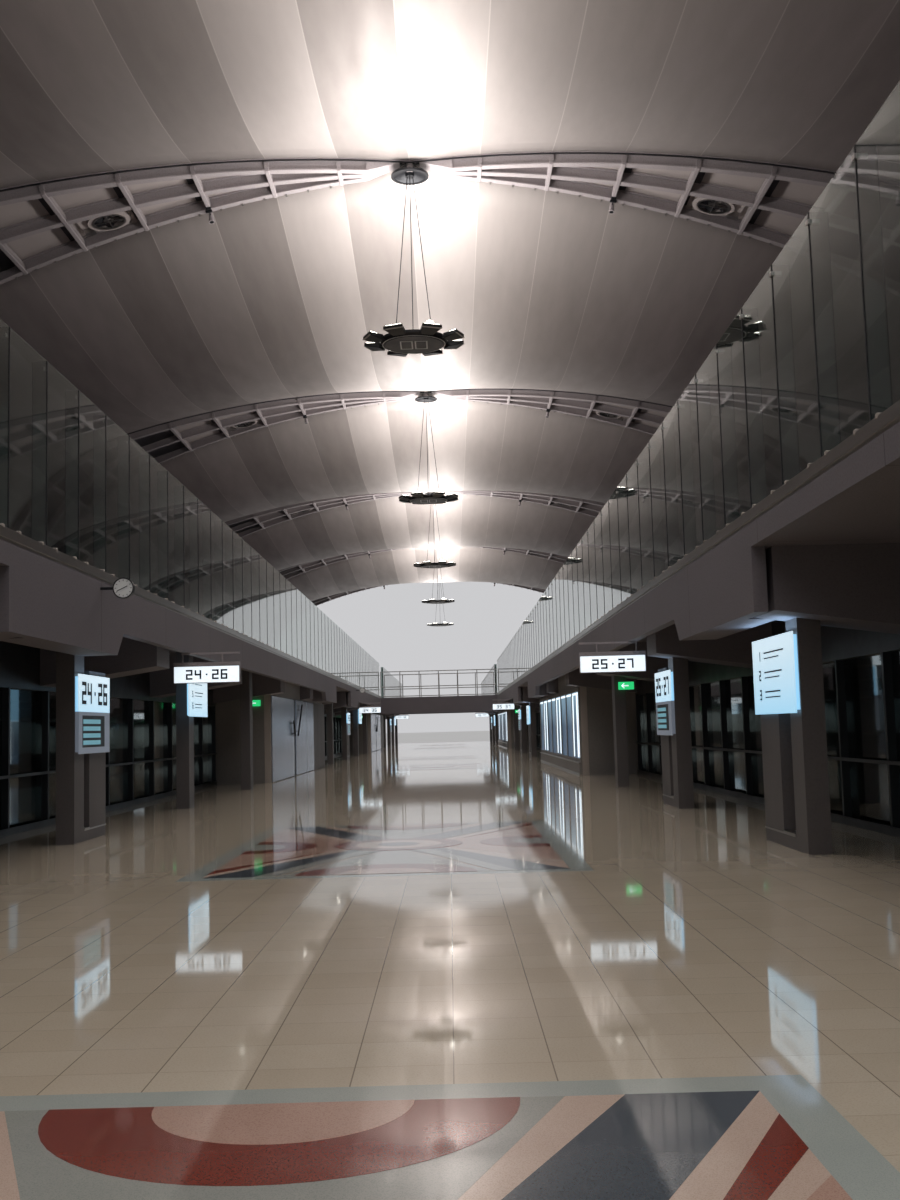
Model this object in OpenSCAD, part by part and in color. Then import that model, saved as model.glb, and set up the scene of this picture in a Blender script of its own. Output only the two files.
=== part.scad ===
// Vaulted concourse hall, six bays long, as a 1:10 scale model.
// Millimetres. X runs across the hall, Y along it, Z up from the underside of the floor.
// Heights are given above the finished floor and lifted by at_floor().

/* [Bays] */
// Distance from one roof arch to the next
bay = 2700; // [2400:10:3000]
// Number of bays between the two end arches
bays = 6; // [2:2:6]
// Deck beams and columns in one bay
frames_per_bay = 3; // [3:1:3]
// Glass panes of the deck screen in one bay
panes_per_bay = 18; // [12:1:20]
// Floor and decks beyond the end arches
end_margin = 450; // [430:5:520]

/* [Floor and decks] */
// Thickness of the ground floor slab
slab_t = 40; // [20:1:60]
// Half the width of the open well between the decks
well_half = 445; // [400:5:470]
// Height of the upper deck
deck_top = 405; // [390:1:440]
// Thickness of the deck slab
deck_t = 33; // [20:1:36]
// Ledge of the deck outside the roof skin
deck_ledge = 20; // [10:1:40]

/* [Deck edge] */
// Thickness of the concrete edge face
fascia_t = 17; // [10:1:20]
// Dark recess under the glass shoe
shadow_gap = 5; // [3:1:8]
// Underside of the edge face between the gates
fascia_low = 330; // [310:1:345]
// Underside of the deep edge face beside each light well
fascia_deep = 293; // [280:1:305]
// Half the length of the light well in the edge, centred on an arch
recess_half = 440; // [400:5:470]
// Length of the deep edge face
deep_len = 510; // [450:5:560]
// Length of its slanted end
deep_slope = 42; // [20:1:60]
// Depth of the bulkhead behind the deep edge face
bulkhead_d = 42; // [20:1:44]

/* [Deck beams] */
// Width of a deck beam along the hall
beam_w = 110; // [80:1:130]
// How far a beam's end stands back behind the edge face
beam_setback = 8; // [4:1:14]
// Underside of a beam at its end by the well
beam_low = 295; // [285:1:315]
// Fall of the underside for each unit outwards
beam_fall = 0.144; // [0.1:0.002:0.15]
// Distance over which the underside falls
beam_fall_len = 230; // [150:5:260]
// Middle of a beam past the half-way line between column lines
beam_shift = 45; // [20:1:60]

/* [Columns] */
// Width of a column across the hall
column_w = 29; // [20:1:36]
// Depth of a column along the hall
column_d = 54; // [40:1:54]
// Face of the columns towards the well
column_x = 510; // [500:1:540]
// Middle of a right column past the half-way line
column_shift = 72; // [60:1:72]
// Middle of a left column past the column line
column_shift_left = 67; // [40:1:90]

/* [Walls below the decks] */
// Inner face of the glazed lounge walls
lounge_x = 690; // [650:5:760]
// Thickness of the lounge wall frames
lounge_t = 12; // [8:1:20]
// Width of a lounge mullion and height of its rails
mullion_w = 8; // [5:1:12]
// Height of the glazing in the lounge walls
lounge_head = 255; // [220:1:262]
// Glazing bays of a lounge wall in one column spacing
lounge_lights = 4; // [2:1:6]
// Thickness of the lounge glass
lounge_glass_t = 3; // [2:0.5:5]
// Lap of a glass sheet behind its frame
glass_lap = 5; // [3:1:6]
// Front face of the service blocks
block_x = 510; // [500:1:540]
// Thickness of the service block walls
block_t = 30; // [15:1:35]
// Height of the framed panels on a block's face
panel_h = 285; // [240:1:285]
// Thickness of the framed panels
panel_t = 4; // [2:0.5:6]
// Rim round the framed panels
panel_rim = 12; // [6:1:20]
// Display windows on the face of a block
display_lights = 8; // [6:1:10]
// Sill of the display windows
display_sill = 40; // [30:1:50]
// Thickness of the outer wall
outer_wall_t = 30; // [20:1:50]
// Sill height of the outer windows
window_sill = 90; // [60:1:120]
// Head height of the outer windows
window_head = 250; // [220:1:256]
// Length of an outer window
window_len = 640; // [400:5:760]

/* [Roof curve] */
// Underside of the arches at the crown
crown_h = 1841; // [1780:1:1900]
// Radius of the crown curve
crown_r = 4300; // [3900:10:4800]
// Distance from the middle where the haunch curve starts
haunch_x = 1440; // [1300:10:1500]
// Radius of the haunch curve
haunch_r = 900; // [800:10:960]

/* [Arches] */
// Depth of an arch chord
chord_d = 37; // [30:1:38]
// Thickness of a chord web
chord_web = 6; // [4:0.5:8]
// Width of a chord flange
chord_flange = 25; // [16:1:26]
// Thickness of a chord flange
flange_t = 4; // [2:0.5:6]
// Spread of the outer chords for each unit across the hall
splay = 0.2; // [0.18:0.005:0.21]
// Half-length of the bare crown, from the pin to the end of the chords
nose_len = 130; // [125:1:150]
// Tip of a nose beside the crown pin
nose_tip = 30; // [20:1:40]
// Height of a nose at its tip
nose_tip_h = 8; // [5:1:12]
// Distance between the cross rungs along the curve
rung_pitch = 211; // [190:1:240]
// Width of a rung along the curve
rung_w = 14; // [8:1:18]
// Depth of a rung
rung_d = 18; // [10:1:22]
// Radius of the dark dish under the pin
dish_r = 54; // [40:1:60]
// Depth of the dish
dish_d = 16; // [10:1:20]
// Drop of the dish below the underside of the arches
dish_drop = 9; // [4:1:12]
// Thickness of the dish
dish_t = 4; // [3:0.5:6]
// Radius of the boss inside the dish
boss_r = 14; // [12:1:20]
// Drop of the pin block below the tips of the noses
collar_drop = 4; // [2:0.5:8]
// Length of the cap over the pin
cap_len = 150; // [140:2:180]
// Thickness of the cap
cap_t = 4; // [2:0.5:6]

/* [Roof skins] */
// Height of the inner lining above the underside of the arches
lining_rise = 33; // [30:1:40]
// Thickness of the inner lining
lining_t = 8; // [5:1:10]
// Sag of the inner lining in the middle of a bay
lining_sag = 200; // [100:5:240]
// Height of the outer membrane above the underside of the arches
skin_rise = 90; // [70:1:110]
// Thickness of the outer membrane
skin_t = 8; // [5:1:10]
// Sag of the outer membrane in the middle of a bay
skin_sag = 120; // [60:5:140]
// Part of the sag that is lost at the foot
sag_loss = 0.6; // [0.4:0.05:0.8]
// Thickness of the kerb plates beside the roof lights
kerb_t = 6; // [4:0.5:8]
// Gap between the chord flanges and the kerb plates
kerb_gap = 2.5; // [1:0.5:4]
// Drop of the kerb plates below the inner lining
kerb_drop = 3; // [1:0.5:5]
// Thickness of the roof lights
rooflight_t = 3; // [2:0.5:5]
// Distance from the middle of the hall where the roof lights start
rooflight_start = 68; // [40:1:69]
// Small clearance where one piece seats on another
seat = 0.3; // [0.2:0.05:0.5]

/* [Deck screens] */
// Thickness of a screen pane
pane_t = 2; // [1.5:0.5:4]
// Open joint between two panes
pane_joint = 1.5; // [1:0.25:3]
// Top of the screen above the floor
screen_top = 669; // [600:1:700]
// Width of the metal shoe that holds the panes
shoe_w = 12; // [9:1:16]
// Height of the shoe
shoe_h = 12; // [8:1:16]
// Set-back of the shoe's neck, and depth of metal under a pane
shoe_neck = 2; // [1:0.5:3]
// Depth of a glass fin behind a joint
fin_d = 18; // [10:1:26]
// Thickness of a glass fin
fin_t = 2; // [1.5:0.5:3]

/* [Lamp rings] */
// Middle of a lamp ring above the floor
ring_h = 1318; // [1200:1:1400]
// Radius of the ring's disc
ring_r = 100; // [80:1:110]
// Thickness of the ring's disc
ring_t = 16; // [10:1:20]
// Outer radius of the ring with its lamp heads
ring_reach = 152; // [140:1:170]
// Lamp heads on a ring
heads = 8; // [6:1:8]
// Width of a lamp head at its mouth
head_w = 62; // [40:1:64]
// Width of a lamp head where it meets the disc
head_root_w = 40; // [30:1:50]
// Thickness of a lamp head
head_t = 18; // [10:1:24]
// Upward tilt of a lamp head
head_tilt = 18; // [5:1:30]
// Radius of the circle where the stays hold the disc
stay_r = 67; // [40:1:80]
// Radius of the circle where the stays leave the dish
stay_top_r = 10; // [8:1:16]
// Diameter of a stay
stay_d = 2.5; // [2:0.25:4]
// Radius of the boss under a stay
stay_boss_r = 5; // [4:0.5:8]
// Rim of the disc
disc_rim = 4; // [3:0.5:6]
// Length of a hatch under the disc
hatch_len = 40; // [30:1:50]
// Width of a hatch
hatch_w = 25; // [15:1:30]
// Depth of a hatch in the disc
hatch_d = 1; // [0.5:0.25:2]

/* [Cross bridge] */
// Start of the bridge past the fifth arch
bridge_start = 750; // [600:150:900]
// Width of the bridge along the hall
bridge_w = 600; // [450:150:600]
// Underside of the bridge beams
bridge_low = 282; // [270:1:300]
// Width of a bridge beam
bridge_beam = 40; // [30:1:60]
// Height of the bridge railing above the deck
rail_h = 200; // [110:5:220]
// Height of its middle rail
rail_mid = 78; // [60:1:100]
// Size of a railing post and rail
rail_t = 6; // [4:0.5:8]
// Gaps between the posts of a railing
post_gaps = 6; // [4:1:8]

/* [Gate fittings] */
// Length of a hanging gate sign
sign_w = 134; // [100:1:150]
// Height of a gate sign
sign_h = 42; // [30:1:50]
// Thickness of a gate sign
sign_t = 10; // [6:1:14]
// Underside of a gate sign above the floor
sign_low = 268; // [255:1:275]
// Near end of a gate sign from the middle of the hall
sign_x = 344; // [330:1:360]
// Gate sign past the arch of a light well
sign_past = 1530; // [1450:10:1600]
// Bars that hang a sign or a clock
hanger = 4; // [3:0.5:6]
// Height of a light box
box_h = 126; // [100:1:134]
// Length of a light box
box_len = 185; // [160:5:220]
// Thickness of a light box
box_t = 7; // [5:0.5:12]
// Underside of a light box above the floor
box_low = 139; // [120:1:145]
// Height of the big light box beside a light well
big_box_h = 101; // [80:1:110]
// Underside of the big light box
big_box_low = 172; // [150:1:175]
// Extra length of the big light box
big_box_more = 28; // [0:1:40]
// Height of the pier under the far end of a light box
pier_h = 273; // [240:1:280]
// Length of the pier along the hall
pier_len = 100; // [60:5:105]
// Thickness of the pier
pier_t = 24; // [15:1:29]
// Height of the foot between a column and its pier
pier_foot = 19; // [10:1:30]
// Radius of the clock
clock_r = 16; // [10:1:20]
// Thickness of the clock case
clock_t = 8; // [5:1:12]
// Length of the clock bracket from the edge face
clock_arm = 19; // [17:1:30]
// Middle of the clock above the floor
clock_h = 388; // [360:1:392]
// Clock past the arch in the light well
clock_past = 850; // [800:10:900]

/* [Hidden] */

stay_angles = [-90, 30, 150];
// Number of sides that draws a curve smoothly
fine = 96;
// The roof's large curves need more sides to be drawn smoothly
roof_fine = 720;
// Number of sides for a thin stay
stay_fine = 24;
// Steps of the roof skins along the crown, along a haunch, and from arch to arch
crown_steps = 6;
haunch_steps = 5;
lining_rows = 6;
skin_rows = 4;
// Overlap that joins two shapes of one piece, or carries a cut clear of a face
lap = 1;
// How far plans of the arches run on past the outermost skin
plan_more = 5;

// Roof curve: one crown arc, two haunch arcs tangent to it, then upright legs
haunch_a = asin(haunch_x / crown_r);
crown_cz = crown_h - crown_r;
haunch_cx = (crown_r - haunch_r) * sin(haunch_a);
haunch_cz = crown_cz + (crown_r - haunch_r) * cos(haunch_a);
hall_half = haunch_cx + haunch_r;
crown_len = crown_r * haunch_a * PI / 180;
haunch_len = haunch_r * (90 - haunch_a) * PI / 180;
leg_len = haunch_cz - deck_top;
curve_len = crown_len + haunch_len + leg_len;

// Overall sizes
skin_top = skin_rise + skin_t;
deck_out = hall_half + skin_top + deck_ledge;
run = bays * bay;
end_y = run / 2 + end_margin;
frame_pitch = bay / frames_per_bay;
pane_pitch = bay / panes_per_bay;
deck_low = deck_top - deck_t;
edge_top = deck_top - shadow_gap;
edge_back = well_half + fascia_t;
beam_start = edge_back + beam_setback;
outer_in = deck_out - outer_wall_t;

function arch_y(i) = (i - bays / 2) * bay;
// Light wells lie on every second arch line, starting with the second
well_lines = [for (i = [1 : 2 : bays]) arch_y(i)];
// Half-way lines between column lines, from one end to the other
half_lines = [for (k = [0 : bays * frames_per_bay - 1]) -run / 2 + (k + 0.5) * frame_pitch];
beam_lines = [for (y = half_lines) y + beam_shift];
// A service block two column spacings long ends at each light well
block_len = 2 * frame_pitch + block_t;
block_starts = [for (y = well_lines) y - 2.5 * frame_pitch + beam_shift - block_t / 2];
function beside_blocks(y) = len([for (b = block_starts)
    if (y > b - column_d && y < b + block_len + column_d) b]) == 0;
columns_right_y = [for (y = half_lines) if (beside_blocks(y + column_shift)) y + column_shift];
columns_left_y = [for (y = half_lines)
    let (c = y + frame_pitch / 2 + column_shift_left) if (beside_blocks(c)) c];
// Gate areas lie between the blocks, and run to both ends of the hall
gate_ends = concat([for (b = block_starts) b], [end_y]);
gate_starts = concat([-end_y], [for (b = block_starts) b + block_len]);
gates = [for (i = [0 : len(gate_ends) - 1]) [gate_starts[i], gate_ends[i]]];

bridge_y = arch_y(bays - 2) + bridge_start;
screen_runs = [[-end_y, bridge_y], [bridge_y + bridge_w, end_y]];
shoe_top = deck_top + shoe_h;
pane_x = well_half + shoe_w / 2;

// Places across an arch, measured from its line: kerb plates, and the edges of the roof skins
kerb_in = chord_flange / 2 + kerb_gap;
skin_edge = kerb_in + kerb_t + seat;
wide = hall_half + skin_top + plan_more;

// Height of a beam's underside at a distance from the middle of the hall
function beam_under(x) = beam_low - beam_fall * max(0, min(x - beam_start, beam_fall_len));

// A place on the roof curve, at a length along it from the crown and a height off it
function curve_a(s) = s < crown_len ? s / crown_r * 180 / PI
    : min(90, haunch_a + (s - crown_len) / haunch_r * 180 / PI);
function curve_x(s, o) = s < crown_len ? (crown_r + o) * sin(curve_a(s))
    : haunch_cx + (haunch_r + o) * sin(curve_a(s));
function curve_z(s, o) = s < crown_len ? crown_cz + (crown_r + o) * cos(curve_a(s))
    : haunch_cz + (haunch_r + o) * cos(curve_a(s)) - max(0, s - crown_len - haunch_len);

// Height of the crown curve at a distance from the middle
function crown_z(x, o) = crown_cz + sqrt((crown_r + o) ^ 2 - x ^ 2);

module at_floor() translate([0, 0, slab_t]) children();
module on_right() at_floor() children();
module on_left() at_floor() mirror([1, 0, 0]) children();
module both_sides() {
    on_right() children();
    on_left() children();
}
// A flat outline in X and Z, drawn out along Y
module along_y(from, to) translate([0, to, 0]) rotate([90, 0, 0]) linear_extrude(to - from) children();
// A flat outline in Y and Z, drawn out along X
module along_x(from, to) translate([from, 0, 0]) rotate([90, 0, 90]) linear_extrude(to - from) children();
module block_between(x0, x1, y0, y1, z0, z1)
    translate([x0, y0, z0]) cube([x1 - x0, y1 - y0, z1 - z0]);

// Everything under the roof curve, raised by an offset, down to the deck
module under_curve(o) {
    big = 2 * crown_r;
    intersection() {
        translate([0, crown_cz]) circle(crown_r + o, $fn = roof_fine);
        translate([0, crown_cz]) polygon([[0, 0], [big * sin(haunch_a), big * cos(haunch_a)],
            [-big * sin(haunch_a), big * cos(haunch_a)]]);
        translate([-big, deck_top]) square([2 * big, big]);
    }
    for (side = [-1, 1])
        intersection() {
            translate([side * haunch_cx, haunch_cz]) circle(haunch_r + o, $fn = roof_fine);
            translate([-big, haunch_cz - lap]) square([2 * big, big]);
        }
    translate([-hall_half - o, deck_top]) square([2 * (hall_half + o), haunch_cz - deck_top]);
}

module curve_band(low, high) difference() {
    under_curve(high);
    under_curve(low);
}

module floor_slab() color("tan")
    block_between(-deck_out, deck_out, -end_y, end_y, 0, slab_t);

module deck() color("slategray")
    block_between(edge_back, deck_out, -end_y, end_y, deck_low, deck_top);

// Side view of the concrete edge face, with its light wells and deep parts
module edge_outline() difference() {
    union() {
        translate([-end_y, fascia_low]) square([2 * end_y, edge_top - fascia_low]);
        for (y = well_lines, side = [-1, 1])
            translate([y, 0]) mirror([side < 0 ? 1 : 0, 0]) polygon([
                [recess_half, fascia_low + lap], [recess_half, fascia_deep],
                [recess_half + deep_len, fascia_deep],
                [recess_half + deep_len + deep_slope, fascia_low + lap]]);
    }
    for (y = well_lines)
        translate([y - recess_half, 0]) square([2 * recess_half, deck_low]);
}

module edge_face() color("lightslategray") {
    along_x(well_half, edge_back) edge_outline();
    for (y = well_lines, side = [-1, 1])
        translate([0, y, 0]) mirror([0, side < 0 ? 1 : 0, 0])
            block_between(edge_back, edge_back + bulkhead_d, recess_half + beam_w,
                recess_half + deep_len, fascia_deep, deck_low);
}

module deck_beam() along_y(-beam_w / 2, beam_w / 2) polygon([
    [beam_start, deck_low], [beam_start, beam_low],
    [beam_start + beam_fall_len, beam_low - beam_fall * beam_fall_len],
    [outer_in, beam_low - beam_fall * beam_fall_len], [outer_in, deck_low]]);

module deck_beams() color("dimgray") for (y = beam_lines) translate([0, y, 0]) deck_beam();

module column(top_in, top_out) along_y(-column_d / 2, column_d / 2) polygon([
    [column_x, 0], [column_x + column_w, 0], [column_x + column_w, top_out], [column_x, top_in]]);

// Right columns stand under the beams, left ones half-way between beams, under the deck
module columns_right() color("rosybrown") for (y = columns_right_y) translate([0, y, 0])
    column(beam_under(column_x), beam_under(column_x + column_w));
module columns_left() color("rosybrown") for (y = columns_left_y) translate([0, y, 0])
    column(deck_low, deck_low);

module outer_wall() color("lightsteelblue") difference() {
    block_between(outer_in, deck_out, -end_y, end_y, 0, deck_low);
    for (y = half_lines)
        block_between(outer_in - lap, deck_out + lap, y - window_len / 2, y + window_len / 2,
            window_sill, window_head);
}

// One sheet behind all the windows of a side, held against the inner face
module outer_glass() color("cadetblue", 0.5)
    block_between(outer_in - lounge_glass_t, outer_in, -end_y, end_y,
        window_sill - glass_lap, window_head + glass_lap);

// Front wall of a service block, and the cross walls at its ends, notched round the beams
module service_walls() color("slategray") difference() {
    for (y = block_starts) translate([0, y, 0]) {
        block_between(block_x, block_x + block_t, 0, block_len, 0, deck_low);
        for (end = [0, block_len - block_t])
            block_between(block_x, lounge_x + lounge_t, end, end + block_t, 0, deck_low);
    }
    deck_beams();
}

// Flat panels on a block's front wall, in two leaves with an open joint
module steel_panels() color("silver")
    for (y = block_starts, leaf = [0, 1]) {
        leaf_len = (block_len - 3 * panel_rim) / 2;
        start = y + panel_rim + leaf * (leaf_len + panel_rim);
        block_between(block_x - panel_t, block_x, start, start + leaf_len, 0, panel_h);
    }

// Framed display windows on a block's front wall
module display_windows() color("gainsboro")
    for (y = block_starts) {
        light = (block_len - panel_rim) / display_lights;
        difference() {
            block_between(block_x - 2 * panel_t, block_x, y, y + block_len, display_sill, panel_h);
            for (i = [0 : display_lights - 1])
                block_between(block_x - 3 * panel_t, block_x - panel_t, y + panel_rim + i * light,
                    y + (i + 1) * light, display_sill + panel_rim, panel_h - panel_rim);
        }
        block_between(block_x - 3 * panel_t, block_x, y, y + block_len, 0, display_sill);
    }

// Glazed wall of the gate areas: mullions, rails and the closed part over the head
module lounge_frames() color("darkslategray") difference() {
    for (g = gates) along_x(lounge_x, lounge_x + lounge_t) difference() {
        count = round((g[1] - g[0]) / (frame_pitch / lounge_lights));
        light = (g[1] - g[0] - mullion_w) / count;
        translate([g[0], 0]) square([g[1] - g[0], deck_low]);
        for (i = [0 : count - 1])
            translate([g[0] + mullion_w + i * light, mullion_w])
                square([light - mullion_w, lounge_head - mullion_w]);
    }
    deck_beams();
}

// One sheet behind the frames of a gate area
module lounge_glass() color("cadetblue", 0.5) for (g = gates)
        block_between(lounge_x + lounge_t, lounge_x + lounge_t + lounge_glass_t,
            g[0], g[1], 0, lounge_head + glass_lap);

// Metal channel on the deck edge, open at the bridge, with a slot for the panes
module screen_shoe() color("gray") for (r = screen_runs) along_y(r[0], r[1]) difference() {
    union() {
        translate([well_half, deck_top]) square([shoe_w, shoe_h]);
        translate([well_half + shoe_neck, edge_top]) square([shoe_w - 2 * shoe_neck, shadow_gap + lap]);
    }
    translate([pane_x - pane_t / 2 - seat, deck_top + shoe_neck]) square([pane_t + 2 * seat, shoe_h]);
}

pane_count = floor((end_y + seat) / pane_pitch);
function in_bridge(y) = y > bridge_y && y < bridge_y + bridge_w;

module screen_panes() color("lightcyan", 0.4)
    for (k = [-pane_count : pane_count - 1]) if (!in_bridge((k + 0.5) * pane_pitch))
        block_between(pane_x - pane_t / 2, pane_x + pane_t / 2, k * pane_pitch + pane_joint / 2,
            (k + 1) * pane_pitch - pane_joint / 2, deck_top + shoe_neck, screen_top);

// Glass fins stand on the shoe behind the open joints
module screen_fins() color("palegreen", 0.5)
    for (k = [1 - pane_count : pane_count - 1]) if (!in_bridge(k * pane_pitch))
        block_between(pane_x + pane_t / 2 + seat, pane_x + pane_t / 2 + seat + fin_d,
            k * pane_pitch - fin_t / 2, k * pane_pitch + fin_t / 2, shoe_top, screen_top);

module cross_bridge() color("slategray") at_floor() {
    block_between(-well_half, well_half, bridge_y, bridge_y + bridge_w, deck_low, deck_top);
    for (side = [0, 1]) mirror([side, 0, 0])
        block_between(well_half - lap, edge_back, bridge_y, bridge_y + bridge_w, edge_top, deck_top);
    for (edge = [0, bridge_w - bridge_beam])
        block_between(-well_half, well_half, bridge_y + edge, bridge_y + edge + bridge_beam,
            bridge_low, deck_low + lap);
}

// Railing along each side of the bridge: posts with three rails
module bridge_railings() color("silver") at_floor()
    for (edge = [rail_t, bridge_w - 2 * rail_t]) translate([0, bridge_y + edge, 0])
        along_y(0, rail_t) {
            gap = (2 * well_half - rail_t) / post_gaps;
            for (i = [0 : post_gaps])
                translate([-well_half + i * gap, deck_top]) square([rail_t, rail_h]);
            for (z = [rail_t, rail_mid, rail_h - rail_t])
                translate([-well_half, deck_top + z]) square([2 * well_half, rail_t]);
        }

// Plan of an arch: three straight chords on each side, spreading from the crown
module chord_plan(width) for (side = [-1, 1], turn = [-1, 0, 1])
    polygon([for (end = [[nose_len, -1], [wide, -1], [wide, 1], [nose_len, 1]])
        [side * end[0], turn * splay * end[0] + end[1] * width / 2]]);

module curved_sheet(low, high) intersection() {
    along_y(-splay * wide - skin_edge, splay * wide + skin_edge) curve_band(low, high);
    translate([0, 0, deck_top]) linear_extrude(crown_h) children();
}

rung_count = floor((curve_len - rung_w) / rung_pitch);

module rungs() for (side = [0, 1], k = [1 : rung_count]) mirror([side, 0, 0]) {
    s = k * rung_pitch;
    half_len = splay * curve_x(s, 0) + chord_flange / 2;
    translate([curve_x(s, chord_d / 2), 0, curve_z(s, chord_d / 2)]) rotate([0, curve_a(s), 0])
        cube([rung_w, 2 * half_len, rung_d], center = true);
}

// The solid ends of the chords, drawn to a tip beside the crown pin
module noses() for (side = [0, 1]) mirror([side, 0, 0]) intersection() {
    root_half = splay * nose_len + chord_flange / 2;
    tip_half = splay * nose_tip + chord_flange / 2;
    along_y(-root_half, root_half) polygon([
        [nose_tip, crown_z(nose_tip, chord_d) - nose_tip_h], [nose_len, crown_z(nose_len, 0)],
        [nose_len, crown_z(nose_len, chord_d)], [nose_tip, crown_z(nose_tip, chord_d)]]);
    translate([0, 0, deck_top]) linear_extrude(crown_h) polygon([
        [nose_tip, -tip_half], [nose_len, -root_half], [nose_len, root_half], [nose_tip, tip_half]]);
}

module arch() color("thistle") {
    curved_sheet(flange_t / 2, chord_d - flange_t / 2) chord_plan(chord_web);
    curved_sheet(0, flange_t) chord_plan(chord_flange);
    curved_sheet(chord_d - flange_t, chord_d) chord_plan(chord_flange);
    rungs();
    noses();
}

collar_low = crown_z(nose_tip, chord_d) - nose_tip_h - collar_drop;
cap_low = crown_h + chord_d + rooflight_t + 2 * seat;

// Pin block between the noses, its cap in the roof, and the dark dish that holds the stays
module crown_pin() color("dimgray") {
    block_between(-nose_tip, nose_tip, -chord_flange / 2, chord_flange / 2, collar_low, cap_low);
    block_between(-cap_len / 2, cap_len / 2, -kerb_in + seat, kerb_in - seat, cap_low, cap_low + cap_t);
    translate([0, 0, crown_h - dish_drop]) {
        rotate_extrude($fn = fine) polygon([[0, dish_d], [boss_r, dish_d], [dish_r, dish_t],
            [dish_r, 0], [dish_r - dish_t, 0], [boss_r, dish_d - dish_t], [0, dish_d - dish_t]]);
        cylinder(h = dish_d - dish_t + lap, r = boss_r, $fn = fine);
        cylinder(h = collar_low - crown_h + dish_drop + lap, r = boss_r / 2, $fn = fine);
    }
}

// Both sheets of a roof skin are grids over the roof curve, sagging between two arches.
// Each comes in three lengths: the vault, and an upright foot on each side below it.
// A place on the grid is a signed length along the curve and a share of the bay.
foot_start = crown_len + haunch_len;
vault_half = concat([for (k = [0 : crown_steps]) k * crown_len / crown_steps],
    [for (k = [1 : haunch_steps - 1]) crown_len + k * haunch_len / haunch_steps],
    [foot_start - seat / 2]);
last = len(vault_half) - 1;
vault_stations = concat([for (k = [last : -1 : 1]) -vault_half[k]], vault_half);
right_foot = [foot_start + seat / 2, curve_len];
left_foot = [-curve_len, -foot_start - seat / 2];
function skin_point(s, v, rise, sag) = let (
    o = rise - sag * (1 - sag_loss * abs(s) / curve_len) * 4 * v * (1 - v),
    edge = splay * curve_x(abs(s), rise) + skin_edge)
    [sign(s) * curve_x(abs(s), o), edge + v * (bay - 2 * edge), curve_z(abs(s), o)];

module skin_length(rise, thick, sag, rows, stations) {
    cols = len(stations);
    layer = cols * (rows + 1);
    function at(i, j, up) = up * layer + j * cols + i;
    function two(a, b, c, d) = [[a, b, c], [a, c, d]];
    polyhedron(
        points = [for (up = [0, 1], j = [0 : rows], s = stations)
            skin_point(s, j / rows, rise + up * thick, sag)],
        faces = concat(
            [for (j = [0 : rows - 1], i = [0 : cols - 2])
                each two(at(i, j, 1), at(i, j + 1, 1), at(i + 1, j + 1, 1), at(i + 1, j, 1))],
            [for (j = [0 : rows - 1], i = [0 : cols - 2])
                each two(at(i, j, 0), at(i + 1, j, 0), at(i + 1, j + 1, 0), at(i, j + 1, 0))],
            [for (i = [0 : cols - 2]) each concat(
                two(at(i, 0, 0), at(i, 0, 1), at(i + 1, 0, 1), at(i + 1, 0, 0)),
                two(at(i + 1, rows, 1), at(i, rows, 1), at(i, rows, 0), at(i + 1, rows, 0)))],
            [for (j = [0 : rows - 1]) each concat(
                two(at(0, j + 1, 1), at(0, j, 1), at(0, j, 0), at(0, j + 1, 0)),
                two(at(cols - 1, j, 1), at(cols - 1, j + 1, 1), at(cols - 1, j + 1, 0),
                    at(cols - 1, j, 0)))]));
}

module roof_skin(rise, thick, sag, rows) for (stations = [left_foot, vault_stations, right_foot])
    skin_length(rise, thick, sag, rows, stations);
module lining() color("silver") roof_skin(lining_rise, lining_t, lining_sag, lining_rows);
module membrane() color("whitesmoke") roof_skin(skin_rise, skin_t, skin_sag, skin_rows);

// Plan of a kerb plate along one side of a roof light
module kerb_plan(inner, outer) polygon([
    [-wide, splay * wide + inner], [0, inner], [wide, splay * wide + inner],
    [wide, splay * wide + outer], [0, outer], [-wide, splay * wide + outer]]);

module roof_kerbs() color("gainsboro") at_floor() for (i = [0 : bays]) translate([0, arch_y(i), 0])
    curved_sheet(lining_rise - kerb_drop, skin_top) for (side = [0, 1]) mirror([0, side, 0])
        kerb_plan(kerb_in, kerb_in + kerb_t);

module roof_lights() color("steelblue", 0.5) at_floor() for (i = [0 : bays])
    translate([0, arch_y(i), 0]) curved_sheet(chord_d + seat, chord_d + seat + rooflight_t)
        for (side = [0, 1]) mirror([side, 0, 0]) polygon([
            [rooflight_start, -splay * rooflight_start - kerb_in + seat],
            [wide, -splay * wide - kerb_in + seat], [wide, splay * wide + kerb_in - seat],
            [rooflight_start, splay * rooflight_start + kerb_in - seat]]);

module lamp_disc() difference() {
    union() {
        rotate_extrude($fn = fine) polygon([[0, -ring_t / 2], [ring_r - ring_t / 2, -ring_t / 2],
            [ring_r, 0], [ring_r, ring_t / 2], [ring_r - disc_rim, ring_t / 2],
            [ring_r - disc_rim, ring_t / 2 - disc_rim], [0, ring_t / 2 - disc_rim]]);
        for (a = stay_angles) rotate([0, 0, a]) translate([stay_r, 0, 0])
            cylinder(h = ring_t / 2, r = stay_boss_r, $fn = fine);
    }
    for (side = [-1, 1]) translate([side * ring_r / 2, 0, -ring_t / 2])
        cube([hatch_len, hatch_w, 2 * hatch_d], center = true);
}

// A tapered lamp head, tilted up, its root cut to the rim of the disc
module lamp_head() difference() {
    reach = (ring_reach - ring_r) / cos(head_tilt) + head_t;
    translate([ring_r, 0, 0]) rotate([0, -head_tilt, 0]) translate([-head_t, 0, 0])
        linear_extrude(head_t, center = true) polygon([
            [0, -head_root_w / 2], [reach, -head_w / 2], [reach, head_w / 2], [0, head_root_w / 2]]);
    cylinder(h = 4 * head_t, r = ring_r + seat, center = true, $fn = fine);
}

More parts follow.
